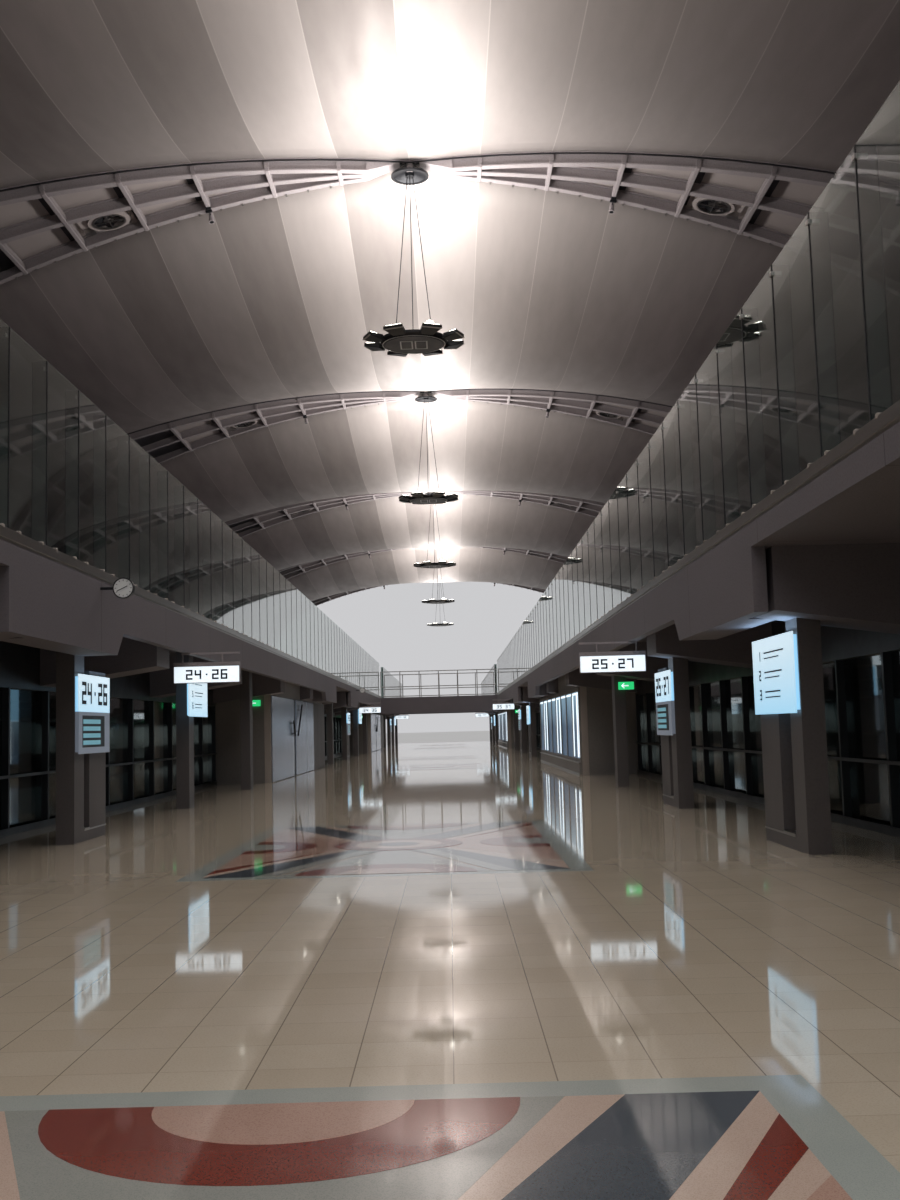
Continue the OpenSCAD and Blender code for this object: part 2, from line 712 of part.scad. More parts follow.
// A straight stay, cut level where it meets the disc and the dish
module lamp_stay() {
    low = ring_h + ring_t / 2;
    high = crown_h - dish_drop;
    rise = high - low;
    intersection() {
        translate([stay_r, 0, low]) rotate([0, atan2(stay_top_r - stay_r, rise), 0])
            translate([0, 0, -rise / 2]) cylinder(h = 2 * rise, d = stay_d, $fn = stay_fine);
        block_between(0, ring_r, -stay_d, stay_d, low, high);
    }
}

module at_rings() at_floor() for (i = [0 : bays]) translate([0, arch_y(i), 0]) children();
module lamp_discs() color("dimgray") at_rings() translate([0, 0, ring_h]) lamp_disc();
module lamp_heads() color("darkslategray") at_rings() translate([0, 0, ring_h])
    for (k = [0 : heads - 1]) rotate([0, 0, (k + 0.5) * 360 / heads]) lamp_head();
module lamp_stays() color("gray") at_rings() for (a = stay_angles) rotate([0, 0, a]) lamp_stay();

// A light box starts at the near face of its column and ends over a pier
function box_start(column_y) = column_y - column_d / 2;
small_left_y = [for (y = well_lines) y + frame_pitch + column_shift_left];
small_right_y = [for (y = well_lines) y + 1.5 * frame_pitch + column_shift];
big_right_y = [for (y = well_lines) y + frame_pitch / 2 + column_shift];

module light_box(column_y, length, low, height) block_between(column_x - box_t, column_x,
    box_start(column_y), box_start(column_y) + length, low, low + height);
module light_boxes() color("lightskyblue") {
    on_left() for (y = small_left_y) light_box(y, box_len, box_low, box_h);
    on_right() for (y = small_right_y) light_box(y, box_len, box_low, box_h);
    on_right() for (y = big_right_y) light_box(y, box_len + big_box_more, big_box_low, big_box_h);
}

// A flat pier stands on a low foot that reaches it from the column
module gate_pier(column_y, length) {
    foot = box_start(column_y) + column_d;
    end = box_start(column_y) + length;
    along_x(column_x, column_x + pier_t) polygon([[foot, 0], [end, 0], [end, pier_h],
        [end - pier_len, pier_h], [end - pier_len, pier_foot], [foot, pier_foot]]);
}
module gate_piers() color("rosybrown") {
    on_left() for (y = small_left_y) gate_pier(y, box_len);
    on_right() for (y = small_right_y) gate_pier(y, box_len);
    on_right() for (y = big_right_y) gate_pier(y, box_len + big_box_more);
}

// A gate sign hangs from a bar under the edge face
module gate_sign() {
    block_between(sign_x, sign_x + sign_w, -sign_t / 2, sign_t / 2, sign_low, sign_low + sign_h);
    for (x = [sign_x + sign_w / 4, edge_back - hanger])
        block_between(x, x + hanger, -hanger / 2, hanger / 2, sign_low + sign_h - lap, fascia_low);
    block_between(sign_x, edge_back, -hanger / 2, hanger / 2, fascia_low - hanger, fascia_low);
}
module gate_signs() color("white") for (y = well_lines) {
    on_left() translate([0, y + sign_past, 0]) gate_sign();
    on_right() translate([0, y + sign_past, 0]) gate_sign();
}

module clocks() color("whitesmoke") for (y = well_lines) on_left()
    translate([well_half, y + clock_past, clock_h]) {
        translate([-clock_arm - clock_r, 0, 0]) rotate([90, 0, 0])
            cylinder(h = clock_t, r = clock_r, center = true, $fn = fine);
        block_between(-clock_arm - lap, 0, -hanger / 2, hanger / 2, -hanger / 2, hanger / 2);
    }

module placed(i) at_floor() translate([0, arch_y(i), 0]) children();

floor_slab();
on_left() deck();  // deck_left
on_right() deck();  // deck_right
on_left() edge_face();  // edge_face_left
on_right() edge_face();  // edge_face_right
both_sides() deck_beams();
union() {  // columns
    on_left() columns_left();
    on_right() columns_right();
}
gate_piers();
on_left() outer_wall();  // outer_wall_left
on_right() outer_wall();  // outer_wall_right
both_sides() outer_glass();
both_sides() service_walls();
on_left() steel_panels();
on_right() display_windows();
both_sides() lounge_frames();
both_sides() lounge_glass();
both_sides() screen_shoe();  // screen_shoes
both_sides() screen_panes();
both_sides() screen_fins();
cross_bridge();
bridge_railings();
placed(0) arch();  // arch_1
placed(1) arch();  // arch_2
placed(2) arch();  // arch_3
placed(3) arch();  // arch_4
placed(4) arch();  // arch_5
placed(5) arch();  // arch_6
placed(6) arch();  // arch_7
at_rings() crown_pin();  // crown_pins
placed(0) lining();  // lining_1
placed(1) lining();  // lining_2
placed(2) lining();  // lining_3
placed(3) lining();  // lining_4
placed(4) lining();  // lining_5
placed(5) lining();  // lining_6
placed(0) membrane();  // membrane_1
placed(1) membrane();  // membrane_2
placed(2) membrane();  // membrane_3
placed(3) membrane();  // membrane_4
placed(4) membrane();  // membrane_5
placed(5) membrane();  // membrane_6
roof_kerbs();
roof_lights();
lamp_discs();
lamp_heads();
lamp_stays();
light_boxes();
gate_signs();
clocks();
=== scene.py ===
# %% [markdown]
# # A long vaulted hall, as a 1:10 model
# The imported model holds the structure: floor, decks, arches and roof sheets.
# This lesson dresses it. Each step says what the real piece is and how it is made here.
# All sizes are metres of the model, so a real metre is 0.1 here.

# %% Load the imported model
import math

import bmesh
import bpy
from mathutils import Matrix, Vector


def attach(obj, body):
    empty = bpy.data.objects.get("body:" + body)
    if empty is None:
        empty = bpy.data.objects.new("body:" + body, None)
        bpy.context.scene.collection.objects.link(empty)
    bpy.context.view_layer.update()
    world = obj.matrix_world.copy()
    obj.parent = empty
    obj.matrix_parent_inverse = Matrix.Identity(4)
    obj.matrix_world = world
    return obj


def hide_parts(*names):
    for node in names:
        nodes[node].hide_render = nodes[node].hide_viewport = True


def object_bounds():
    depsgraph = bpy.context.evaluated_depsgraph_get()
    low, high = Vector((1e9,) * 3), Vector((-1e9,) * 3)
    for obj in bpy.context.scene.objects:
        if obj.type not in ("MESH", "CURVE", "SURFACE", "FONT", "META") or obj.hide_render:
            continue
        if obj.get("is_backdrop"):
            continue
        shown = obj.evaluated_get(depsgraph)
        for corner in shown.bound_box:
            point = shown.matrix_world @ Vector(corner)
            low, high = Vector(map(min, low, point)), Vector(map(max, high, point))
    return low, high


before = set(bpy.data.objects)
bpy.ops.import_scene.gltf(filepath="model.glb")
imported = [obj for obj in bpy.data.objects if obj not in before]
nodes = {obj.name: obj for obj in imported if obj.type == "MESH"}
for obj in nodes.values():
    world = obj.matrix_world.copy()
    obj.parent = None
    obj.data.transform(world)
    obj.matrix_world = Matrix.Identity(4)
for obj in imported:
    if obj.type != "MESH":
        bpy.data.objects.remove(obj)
cad_low, cad_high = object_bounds()
print("loaded", len(nodes), "nodes; box", [round(x, 3) for x in cad_high - cad_low])

# %% [markdown]
# ## The hall's own measures
# The arches stand 2.7 m apart and everything else is set out from them.
# The same few numbers place every lamp, clamp and tile below.

# %% Measures shared by all steps
FLOOR = 0.04
BAY = 2.7
ARCHES = [(i - 3) * BAY for i in range(7)]
WELLS = ARCHES[1::2]
END = 8.55
DECK = FLOOR + 0.405
CROWN_R, HAUNCH_R, CROWN_H, HAUNCH_X = 4.3, 0.9, 1.841, 1.44
HAUNCH_A = math.asin(HAUNCH_X / CROWN_R)
CROWN_Z = FLOOR + CROWN_H - CROWN_R
HAUNCH_CX = (CROWN_R - HAUNCH_R) * math.sin(HAUNCH_A)
HAUNCH_CZ = CROWN_Z + (CROWN_R - HAUNCH_R) * math.cos(HAUNCH_A)
CROWN_LEN = CROWN_R * HAUNCH_A
HAUNCH_LEN = HAUNCH_R * (math.pi / 2 - HAUNCH_A)
CURVE_LEN = CROWN_LEN + HAUNCH_LEN + HAUNCH_CZ - DECK
SPLAY = 0.2
RUNG = 0.211


def roof_place(s, rise):
    """Angle, x and z on the roof curve, at a length s from the crown and a rise off it."""
    side = -1 if s < 0 else 1
    s = abs(s)
    if s < CROWN_LEN:
        a, radius = s / CROWN_R, CROWN_R + rise
        return side * a, side * radius * math.sin(a), CROWN_Z + radius * math.cos(a)
    a = min(math.pi / 2, HAUNCH_A + (s - CROWN_LEN) / HAUNCH_R)
    x = HAUNCH_CX + (HAUNCH_R + rise) * math.sin(a)
    z = HAUNCH_CZ + (HAUNCH_R + rise) * math.cos(a) - max(0.0, s - CROWN_LEN - HAUNCH_LEN)
    return side * a, side * x, z


def splay_at(s, rise=0.0):
    """How far the outer chords stand from the middle one, at a length s from the crown."""
    return SPLAY * abs(roof_place(s, rise)[1])


print("the curve is", round(2 * CURVE_LEN, 3), "m long from foot to foot")

# %% [markdown]
# ## The camera
# It stands above the floor a little right of the middle and looks slightly up. Its place,
# tilt and lens were worked out from the arches and the screen joints.

# %% Camera
EYE = 0.078, -6.510, FLOOR + 0.165
TURN, TILT, ROLL = -0.15, 5.60, -1.51

lens = bpy.data.cameras.new("viewer")
lens.sensor_width = 36
lens.lens = 39.07
lens.clip_start, lens.clip_end = 0.02, 200
viewer = bpy.data.objects.new("viewer", lens)
bpy.context.scene.collection.objects.link(viewer)
viewer.matrix_world = (
    Matrix.Translation(EYE)
    @ Matrix.Rotation(math.radians(TURN), 4, "Z")
    @ Matrix.Rotation(math.radians(90 + TILT), 4, "X")
    @ Matrix.Rotation(math.radians(ROLL), 4, "Z")
)
bpy.context.scene.camera = viewer
bpy.context.scene.view_settings.view_transform = "Standard"
print("the camera stands at", EYE)

# %% [markdown]
# ## Light and ground
# A plain pale ground carries the model, and a pale sky lights it evenly from outside.
# A roof keeps the sky's light out, so soft lamps light the hall from within. One shines
# up from each ring. In each bay one shines down on the floor and one up along the crown.
# None of them shows itself to the camera.

# %% Ground, sky and lamps
GROUND_SIZE = 60
WHITE, WARM, COOL = (1, 1, 1), (1, 0.96, 0.93), (0.45, 0.72, 1)

ground_mesh = bpy.data.meshes.new("ground")
bm = bmesh.new()
bmesh.ops.create_grid(bm, x_segments=1, y_segments=1, size=GROUND_SIZE)
bm.to_mesh(ground_mesh)
bm.free()
ground = bpy.data.objects.new("ground", ground_mesh)
bpy.context.scene.collection.objects.link(ground)
ground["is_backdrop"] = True

sky = bpy.data.worlds.new("pale_sky")
bpy.context.scene.world = sky
sky.use_nodes = True
sky.node_tree.nodes["Background"].inputs["Color"].default_value = (0.80, 0.80, 0.82, 1)
sky.node_tree.nodes["Background"].inputs["Strength"].default_value = 0.75


def soft_lamp(name, place, size, power, up=False, tint=WHITE, glossy=False):
    """A rectangular lamp that lights the hall without being seen in it."""
    data = bpy.data.lights.new(name, "AREA")
    data.shape = "RECTANGLE"
    data.size, data.size_y = size
    data.energy = power
    data.color = tint
    lamp = bpy.data.objects.new(name, data)
    lamp.location = place
    lamp.rotation_euler = (math.pi if up else 0, 0, 0)
    lamp.visible_camera = False
    lamp.visible_glossy = glossy
    lamp.visible_transmission = False
    bpy.context.scene.collection.objects.link(lamp)


RING_LAMP = {"size": (0.36, 0.90), "power": 11.0, "up": True, "tint": WARM, "glossy": True}
BAY_LAMP = {"size": (1.2, 2.2), "power": 8.8}
VAULT_LAMP = {"size": (0.26, 2.5), "power": 15.5, "up": True, "tint": WARM}
for k, y in enumerate(ARCHES):
    soft_lamp(f"ring_light_{k}", (0, y + 0.02, FLOOR + 1.40), **RING_LAMP)
for k, y in enumerate(ARCHES[:-1]):
    soft_lamp(f"bay_light_{k}", (0, y + BAY / 2, FLOOR + 1.25), **BAY_LAMP)
    soft_lamp(f"vault_light_{k}", (0, y + BAY / 2, FLOOR + 1.36), **VAULT_LAMP)
print(len(ARCHES), "ring lamps and", 2 * len(ARCHES[:-1]), "lamps between the arches")

# %% [markdown]
# ## Helpers for meshes
# Every new piece starts as a bmesh. These helpers turn one into a named piece that rides
# on the hall's single body, and add boxes, rods, rings and discs to a growing mesh. A
# shape is drawn in a frame: its own small set of axes, moved and turned into its place.

# %% Helpers for meshes


def new_meshes(count):
    """Some empty meshes, one for each piece that a cell makes."""
    return [bmesh.new() for _ in range(count)]


def piece(name, bm, material, smooth=False, replaces=()):
    """Closes a bmesh into a named piece that rides with the hall."""
    bmesh.ops.recalc_face_normals(bm, faces=bm.faces)
    for face in bm.faces:
        face.smooth = smooth
    mesh = bpy.data.meshes.new(name)
    bm.to_mesh(mesh)
    bm.free()
    made = bpy.data.objects.new(name, mesh)
    bpy.context.scene.collection.objects.link(made)
    mesh.materials.append(material)
    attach(made, "root")
    if replaces:
        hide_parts(*replaces)
    print(name, len(mesh.polygons), "faces")
    return made


def shift(x, y, z):
    """A frame moved to a place."""
    return Matrix.Translation((x, y, z))


def turned(angle, axis):
    """A frame turned about one axis."""
    return Matrix.Rotation(angle, 4, axis)


def add_block(bm, matrix, low, high):
    """Adds a box given by two corners in a frame."""
    low, high = Vector(low), Vector(high)
    size = Matrix.Diagonal((*(high - low), 1))
    place = matrix @ shift(*((low + high) / 2))
    return bmesh.ops.create_cube(bm, size=1, matrix=place @ size)["verts"]


def add_side_box(bm, side, x, y, z):
    """Adds a box from three pairs of limits, on one side of the hall and above its floor."""
    x, y, z = sorted((side * x[0], side * x[1])), sorted(y), sorted(z)
    add_block(bm, shift(0, 0, FLOOR), (x[0], y[0], z[0]), (x[1], y[1], z[1]))


def add_rod(bm, start, end, radius, sides=12):
    """Adds a round rod from one point to another."""
    start, end = Vector(start), Vector(end)
    along = end - start
    place = shift(*((start + end) / 2)) @ along.to_track_quat("Z", "Y").to_matrix().to_4x4()
    add_round(bm, place, radius, radius, along.length, sides)


def add_round(bm, matrix, low_radius, high_radius, depth, sides=20):
    """Adds a disc or a cone whose middle is the frame's origin, its axis on the frame's Z."""
    bmesh.ops.create_cone(bm, cap_ends=True, segments=sides, radius1=low_radius,
                          radius2=high_radius, depth=depth, matrix=matrix)


def add_ring(bm, matrix, inner, outer, low, high, sides=32):
    """Spins a small rectangle into a flat ring, its axis on the frame's Z."""
    section = ((inner, low), (outer, low), (outer, high), (inner, high))
    corners = [bm.verts.new(matrix @ Vector((radius, 0, z))) for radius, z in section]
    edges = [bm.edges.new(pair) for pair in zip(corners, corners[1:] + corners[:1])]
    bmesh.ops.spin(
        bm, geom=corners + edges, cent=matrix.translation,
        axis=matrix.to_3x3() @ Vector((0, 0, 1)), angle=math.tau, steps=sides, use_merge=True)


def soften(bm, width, segments=2):
    """Rounds every sharp edge of a mesh a little."""
    edges = [e for e in bm.edges if e.is_manifold and e.calc_face_angle(0) > 0.5]
    bmesh.ops.bevel(bm, geom=edges, offset=width, segments=segments, profile=0.5,
                    affect="EDGES", material=-1)


# %% [markdown]
# ## Shader groups
# A hall this size shows the same few surface effects again and again: a soft cloudiness,
# joints at a regular spacing, and a fine grain. Each is a node group, made once.

# %% Helpers for shader groups


def srgb(r, g, b):
    """A colour as a screen names it, turned into the linear numbers a shader wants."""
    def one(c):
        c /= 255
        return c / 12.92 if c <= 0.04045 else ((c + 0.055) / 1.055) ** 2.4
    return (one(r), one(g), one(b), 1)


def start_group(name, inputs, outputs):
    """An empty shader group with named sockets."""
    group = bpy.data.node_groups.new(name, "ShaderNodeTree")
    for label, kind, value in inputs:
        socket = group.interface.new_socket(label, in_out="INPUT", socket_type="NodeSocket" + kind)
        socket.default_value = value
    for label, kind in outputs:
        group.interface.new_socket(label, in_out="OUTPUT", socket_type="NodeSocket" + kind)
    return group, group.nodes.new("NodeGroupInput"), group.nodes.new("NodeGroupOutput")


def maths(tree, operation, a, b=None, c=None):
    """A Math node whose inputs are numbers or sockets."""
    node = tree.nodes.new("ShaderNodeMath")
    node.operation = operation
    for socket, value in zip(node.inputs, (a, b, c)):
        if value is None:
            continue
        if isinstance(value, (int, float)):
            socket.default_value = value
        else:
            tree.links.new(value, socket)
    return node.outputs[0]


def blend_colours(tree, share, first, second):
    """A Mix node between two colours, given as sockets or as values."""
    node = tree.nodes.new("ShaderNodeMix")
    node.data_type = "RGBA"
    for index, value in ((0, share), (6, first), (7, second)):
        if isinstance(value, (int, float, tuple)):
            node.inputs[index].default_value = value
        else:
            tree.links.new(value, node.inputs[index])
    return node.outputs[2]


# %% [markdown]
# ## Cloudiness
# No real surface is one flat colour. A soft noise picks between two near tones, and its
# height can also vary the shine. A stretch makes the clouds long, as brushing does. An
# image could do the same, but a noise has no seams and needs no map.

# %% Cloudiness: two tones that drift into each other
clouds, into, out = start_group(
    "clouds",
    [("Colour", "Color", (0.5, 0.5, 0.5, 1)), ("Second colour", "Color", (0.4, 0.4, 0.4, 1)),
     ("Scale", "Float", 4.0), ("Stretch", "Vector", (1, 1, 1))],
    [("Colour", "Color"), ("Height", "Float")])
place = clouds.nodes.new("ShaderNodeTexCoord")
stretch = clouds.nodes.new("ShaderNodeVectorMath")
stretch.operation = "MULTIPLY"
noise = clouds.nodes.new("ShaderNodeTexNoise")
noise.inputs["Detail"].default_value = 6
noise.inputs["Roughness"].default_value = 0.62
clouds.links.new(place.outputs["Object"], stretch.inputs[0])
clouds.links.new(into.outputs["Stretch"], stretch.inputs[1])
clouds.links.new(stretch.outputs[0], noise.inputs["Vector"])
clouds.links.new(into.outputs["Scale"], noise.inputs["Scale"])
soft = maths(clouds, "SMOOTH_MIN", maths(clouds, "MULTIPLY", noise.outputs[0], 1.1), 1.0, 0.1)
drift = blend_colours(clouds, soft, into.outputs["Colour"], into.outputs["Second colour"])
clouds.links.new(drift, out.inputs["Colour"])
clouds.links.new(noise.outputs[0], out.inputs["Height"])

# %% [markdown]
# ## Joints
# Floor tiles, concrete panels and cloth strips all repeat at a fixed spacing. Dividing a
# coordinate by it gives each one a number, and folding the share back and forth gives
# the distance to the nearest joint. Thousands of cut joints would only add weight.

# %% Joints: a thin line at every multiple of a spacing
joints, into, out = start_group(
    "joints",
    [("Position", "Float", 0.0), ("Spacing", "Float", 0.05), ("Width", "Float", 0.001)],
    [("Line", "Float"), ("Number", "Float")])
share = maths(joints, "DIVIDE", into.outputs["Position"], into.outputs["Spacing"])
nearest = maths(joints, "PINGPONG", share, 0.5)
distance = maths(joints, "MULTIPLY", nearest, into.outputs["Spacing"])
half_width = maths(joints, "MULTIPLY", into.outputs["Width"], 0.5)
joints.links.new(maths(joints, "LESS_THAN", distance, half_width), out.inputs["Line"])
joints.links.new(maths(joints, "FLOOR", share), out.inputs["Number"])

# %% [markdown]
# ## Grain
# Polished stone has flecks, concrete has pores and thick paint has a fine peel. A fine
# noise is cut at one level into small specks. Its height is given out as well, to roughen
# a surface or to dent it a little.

# %% Grain: fine specks for stone, concrete and paint
grain, into, out = start_group(
    "grain",
    [("Colour", "Color", (0.5, 0.5, 0.5, 1)), ("Speck colour", "Color", (0.4, 0.4, 0.4, 1)),
     ("Scale", "Float", 200.0), ("Amount", "Float", 0.3)],
    [("Colour", "Color"), ("Height", "Float")])
place = grain.nodes.new("ShaderNodeTexCoord")
specks = grain.nodes.new("ShaderNodeTexNoise")
specks.inputs["Detail"].default_value = 3
grain.links.new(place.outputs["Object"], specks.inputs["Vector"])
grain.links.new(into.outputs["Scale"], specks.inputs["Scale"])
spotted = maths(grain, "GREATER_THAN", specks.outputs[0], 0.56)
strong = maths(grain, "MULTIPLY", spotted, into.outputs["Amount"])
mixed = blend_colours(grain, strong, into.outputs["Colour"], into.outputs["Speck colour"])
grain.links.new(mixed, out.inputs["Colour"])
grain.links.new(specks.outputs[0], out.inputs["Height"])
print("groups", [g.name for g in bpy.data.node_groups])

# %% [markdown]
# ## Materials
# Each finish starts from one Principled shader. The groups feed its colour, its
# roughness and its bump, and plain numbers are set on the shader itself.

# %% Helpers for materials


def finish(name, roughness, metallic=0.0, colour=None, **extra):
    """A new material with a Principled shader; returns it with its tree and shader."""
    material = bpy.data.materials.new(name)
    material.use_nodes = True
    shader = material.node_tree.nodes["Principled BSDF"]
    shader.inputs["Roughness"].default_value = roughness
    shader.inputs["Metallic"].default_value = metallic
    if colour:
        shader.inputs["Base Color"].default_value = colour
    for label, value in extra.items():
        shader.inputs[label.replace("_", " ")].default_value = value
    print("finish", name)
    return material, material.node_tree, shader


def use_group(tree, group, **values):
    """Places a group in a material, with numbers or sockets for its inputs."""
    node = tree.nodes.new("ShaderNodeGroup")
    node.node_tree = group
    for label, value in values.items():
        socket = node.inputs[label.replace("_", " ")]
        if isinstance(value, (int, float, tuple)):
            socket.default_value = value
        else:
            tree.links.new(value, socket)
    return node


def roughen(tree, shader, height, strength, distance=0.001):
    """Feeds a height into the shader as a bump."""
    bump = tree.nodes.new("ShaderNodeBump")
    bump.inputs["Strength"].default_value = strength
    bump.inputs["Distance"].default_value = distance
    tree.links.new(height, bump.inputs["Height"])
    tree.links.new(bump.outputs["Normal"], shader.inputs["Normal"])


def spread(tree, value, low, high):
    """Turns a value of 0 to 1 into one between two limits."""
    return maths(tree, "MULTIPLY_ADD", value, high - low, low)


def axis_of(tree, axis, source="Object"):
    """One coordinate of the piece, as a socket."""
    place = tree.nodes.new("ShaderNodeTexCoord")
    split = tree.nodes.new("ShaderNodeSeparateXYZ")
    tree.links.new(place.outputs[source], split.inputs[0])
    return split.outputs[axis]


def clouded(name, roughness, first, second, scale, rough=None, stretch=(1, 1, 1), **extra):
    """A finish that drifts between two near tones; rough gives two limits of roughness."""
    material, tree, shader = finish(name, roughness, **extra)
    body = use_group(tree, clouds, Colour=srgb(*first), Second_colour=srgb(*second),
                     Scale=scale, Stretch=stretch)
    tree.links.new(body.outputs["Colour"], shader.inputs["Base Color"])
    if rough:
        tree.links.new(spread(tree, body.outputs["Height"], *rough), shader.inputs["Roughness"])
    return material, tree, shader, body


def speckled(name, first, second, speck, scale, speck_scale, amount, rough, bump=None,
             stretch=(1, 1, 1), **extra):
    """A clouded finish with fine specks over it, as paint and polished stone have."""
    material, tree, shader, body = clouded(
        name, rough[0], first, second, scale, rough, stretch, **extra)
    fine = use_group(tree, grain, Colour=body.outputs["Colour"], Speck_colour=srgb(*speck),
                     Scale=speck_scale, Amount=amount)
    tree.links.new(fine.outputs["Colour"], shader.inputs["Base Color"])
    if bump:
        roughen(tree, shader, fine.outputs["Height"], bump)
    return material


# %% [markdown]
# ## Polished stone floor
# The floor is laid in polished stone tiles, about half a metre square in the real hall.
# It mirrors the signs and lamps, so its roughness is low and varies a little. The tiles
# are drawn by the material on one flat slab: each has a number, and from it a tone.

# %% Polished stone floor: square tiles with fine joints
TILE_X, TILE_Y, TILE_START = 0.0485, 0.05, 0.0215
stone_floor, tree, shader = finish("polished_stone", 0.1, IOR=1.5)
across = use_group(tree, joints, Spacing=TILE_X, Width=0.0007,
                   Position=maths(tree, "ADD", axis_of(tree, "X"), TILE_START))
along = use_group(tree, joints, Spacing=TILE_Y, Width=0.0004, Position=axis_of(tree, "Y"))
tile = tree.nodes.new("ShaderNodeCombineXYZ")
tree.links.new(across.outputs["Number"], tile.inputs[0])
tree.links.new(along.outputs["Number"], tile.inputs[1])
tone = tree.nodes.new("ShaderNodeTexWhiteNoise")
tree.links.new(tile.outputs[0], tone.inputs["Vector"])
tile_colour = blend_colours(tree, tone.outputs["Value"], srgb(205, 193, 174), srgb(194, 181, 161))
veins = use_group(tree, clouds, Colour=tile_colour, Second_colour=srgb(186, 172, 152), Scale=9.0)
flecks = use_group(tree, grain, Colour=veins.outputs["Colour"], Speck_colour=srgb(160, 146, 128),
                   Scale=900.0, Amount=0.25)
faint = maths(tree, "MULTIPLY", along.outputs["Line"], 0.75)
lines = maths(tree, "MAXIMUM", across.outputs["Line"], faint)
jointed = blend_colours(tree, lines, flecks.outputs["Colour"], srgb(134, 122, 108))
tree.links.new(jointed, shader.inputs["Base Color"])
tree.links.new(spread(tree, veins.outputs["Height"], 0.02, 0.07), shader.inputs["Roughness"])

# %% [markdown]
# ## Concrete
# The decks, their edges, the beams and the bridge are cast concrete, with a joint at
# every 4.5 m of the real hall. Its roughness and a faint bump follow the pores. The joint
# is a dark line in the material, because a joint this thin looks no better when cut.

# %% Concrete: grey, cloudy, with fine pores and a joint every 0.45 m
PANEL, PANEL_START = 0.45, 0.045
concrete, tree, shader = finish("concrete", 0.7)
body = use_group(tree, clouds, Colour=srgb(116, 110, 115), Second_colour=srgb(96, 92, 97),
                 Scale=3.0, Stretch=(1, 0.6, 1))
pores = use_group(tree, grain, Colour=body.outputs["Colour"], Speck_colour=srgb(84, 79, 81),
                  Scale=420.0, Amount=0.2)
panel = use_group(tree, joints, Spacing=PANEL, Width=0.0016,
                  Position=maths(tree, "ADD", axis_of(tree, "Y"), PANEL_START))
jointed = blend_colours(tree, panel.outputs["Line"], pores.outputs["Colour"], srgb(52, 48, 52))
tree.links.new(jointed, shader.inputs["Base Color"])
tree.links.new(spread(tree, pores.outputs["Height"], 0.5, 0.75), shader.inputs["Roughness"])
roughen(tree, shader, pores.outputs["Height"], 0.06)

# %% [markdown]
# ## Paints
# The arches are painted steel under a slight gloss. Columns and walls have a duller paint
# whose clouds are a little taller than wide. All three share one recipe of clouds, specks
# and a faint bump. Small trims and faces need only the clouds.

# %% Paints: the arches' steel, the columns and the walls
truss_paint = speckled(
    "truss_paint", (164, 156, 157), (144, 137, 139), (126, 119, 121), scale=5.0,
    speck_scale=260.0, amount=0.3, rough=(0.35, 0.55), bump=0.08, Coat_Weight=0.15)
column_paint = speckled(
    "column_paint", (98, 93, 93), (80, 76, 77), (76, 71, 69), scale=4.0,
    speck_scale=300.0, amount=0.25, rough=(0.4, 0.6), bump=0.1, stretch=(1, 1, 0.4))
wall_paint = speckled(
    "wall_paint", (140, 136, 133), (120, 116, 114), (104, 100, 98), scale=3.0,
    speck_scale=320.0, amount=0.25, rough=(0.55, 0.65), bump=0.1, stretch=(1, 1, 0.5))
panel_infill = clouded("panel_infill", 0.5, (174, 164, 161), (156, 147, 145), 6.0)[0]
pale_trim = clouded("pale_trim", 0.45, (176, 166, 158), (156, 147, 140), 8.0)[0]
ink_paint = clouded("ink_paint", 0.4, (26, 34, 62), (20, 27, 50), 30.0)[0]
white_face = clouded("white_face", 0.3, (228, 230, 230), (216, 219, 219), 24.0)[0]

# %% [markdown]
# ## Metals
# Small fittings are dark painted metal or brushed steel, and the wide leaves of the
# service blocks are sheet steel. Brushing is a noise drawn out in one direction: along
# the hall on the fittings, upright on the sheets. Single scratches would be too fine.

# %% Metals: dark painted, brushed, and sheet steel with a soft upright grain
dark_metal = clouded(
    "dark_metal", 0.35, (52, 53, 56), (34, 35, 39), 12.0, rough=(0.25, 0.5), metallic=0.6)[0]
brushed_metal, tree, shader, streaks = clouded(
    "brushed_metal", 0.3, (188, 186, 182), (150, 148, 146), 60.0, rough=(0.2, 0.42),
    stretch=(1, 0.02, 1), metallic=1.0)
roughen(tree, shader, streaks.outputs["Height"], 0.08)
steel_sheet = clouded(
    "steel_sheet", 0.25, (204, 212, 226), (156, 166, 184), 26.0, rough=(0.14, 0.34),
    stretch=(1, 1, 0.06), metallic=0.9)[0]

# %% [markdown]
# ## Glass
# The deck screens are clear with a faint green cast, their fins and the lounge fronts are
# greyer, and the outer windows are dark. Each is a Principled shader with full
# transmission: its colour tints what it lets through, and its IOR sets how much it mirrors.

# %% Glass: clear screens, greyer fins and dark windows
screen_glass = finish(
    "screen_glass", 0.015, colour=srgb(204, 220, 214), IOR=1.65, Transmission_Weight=1.0)[0]
fin_glass = clouded(
    "fin_glass", 0.03, (150, 162, 158), (134, 148, 144), 3.0, IOR=1.35, Transmission_Weight=1.0)[0]
tinted_glass = clouded(
    "tinted_glass", 0.03, (74, 84, 86), (60, 70, 74), 2.0, IOR=1.5, Transmission_Weight=1.0)[0]

# %% [markdown]
# ## Stones of the inlay
# Six stones make the pattern in the floor. They differ only in their tones, so one table
# lists the tones, and one set of numbers gives all six the same flecks and polish.

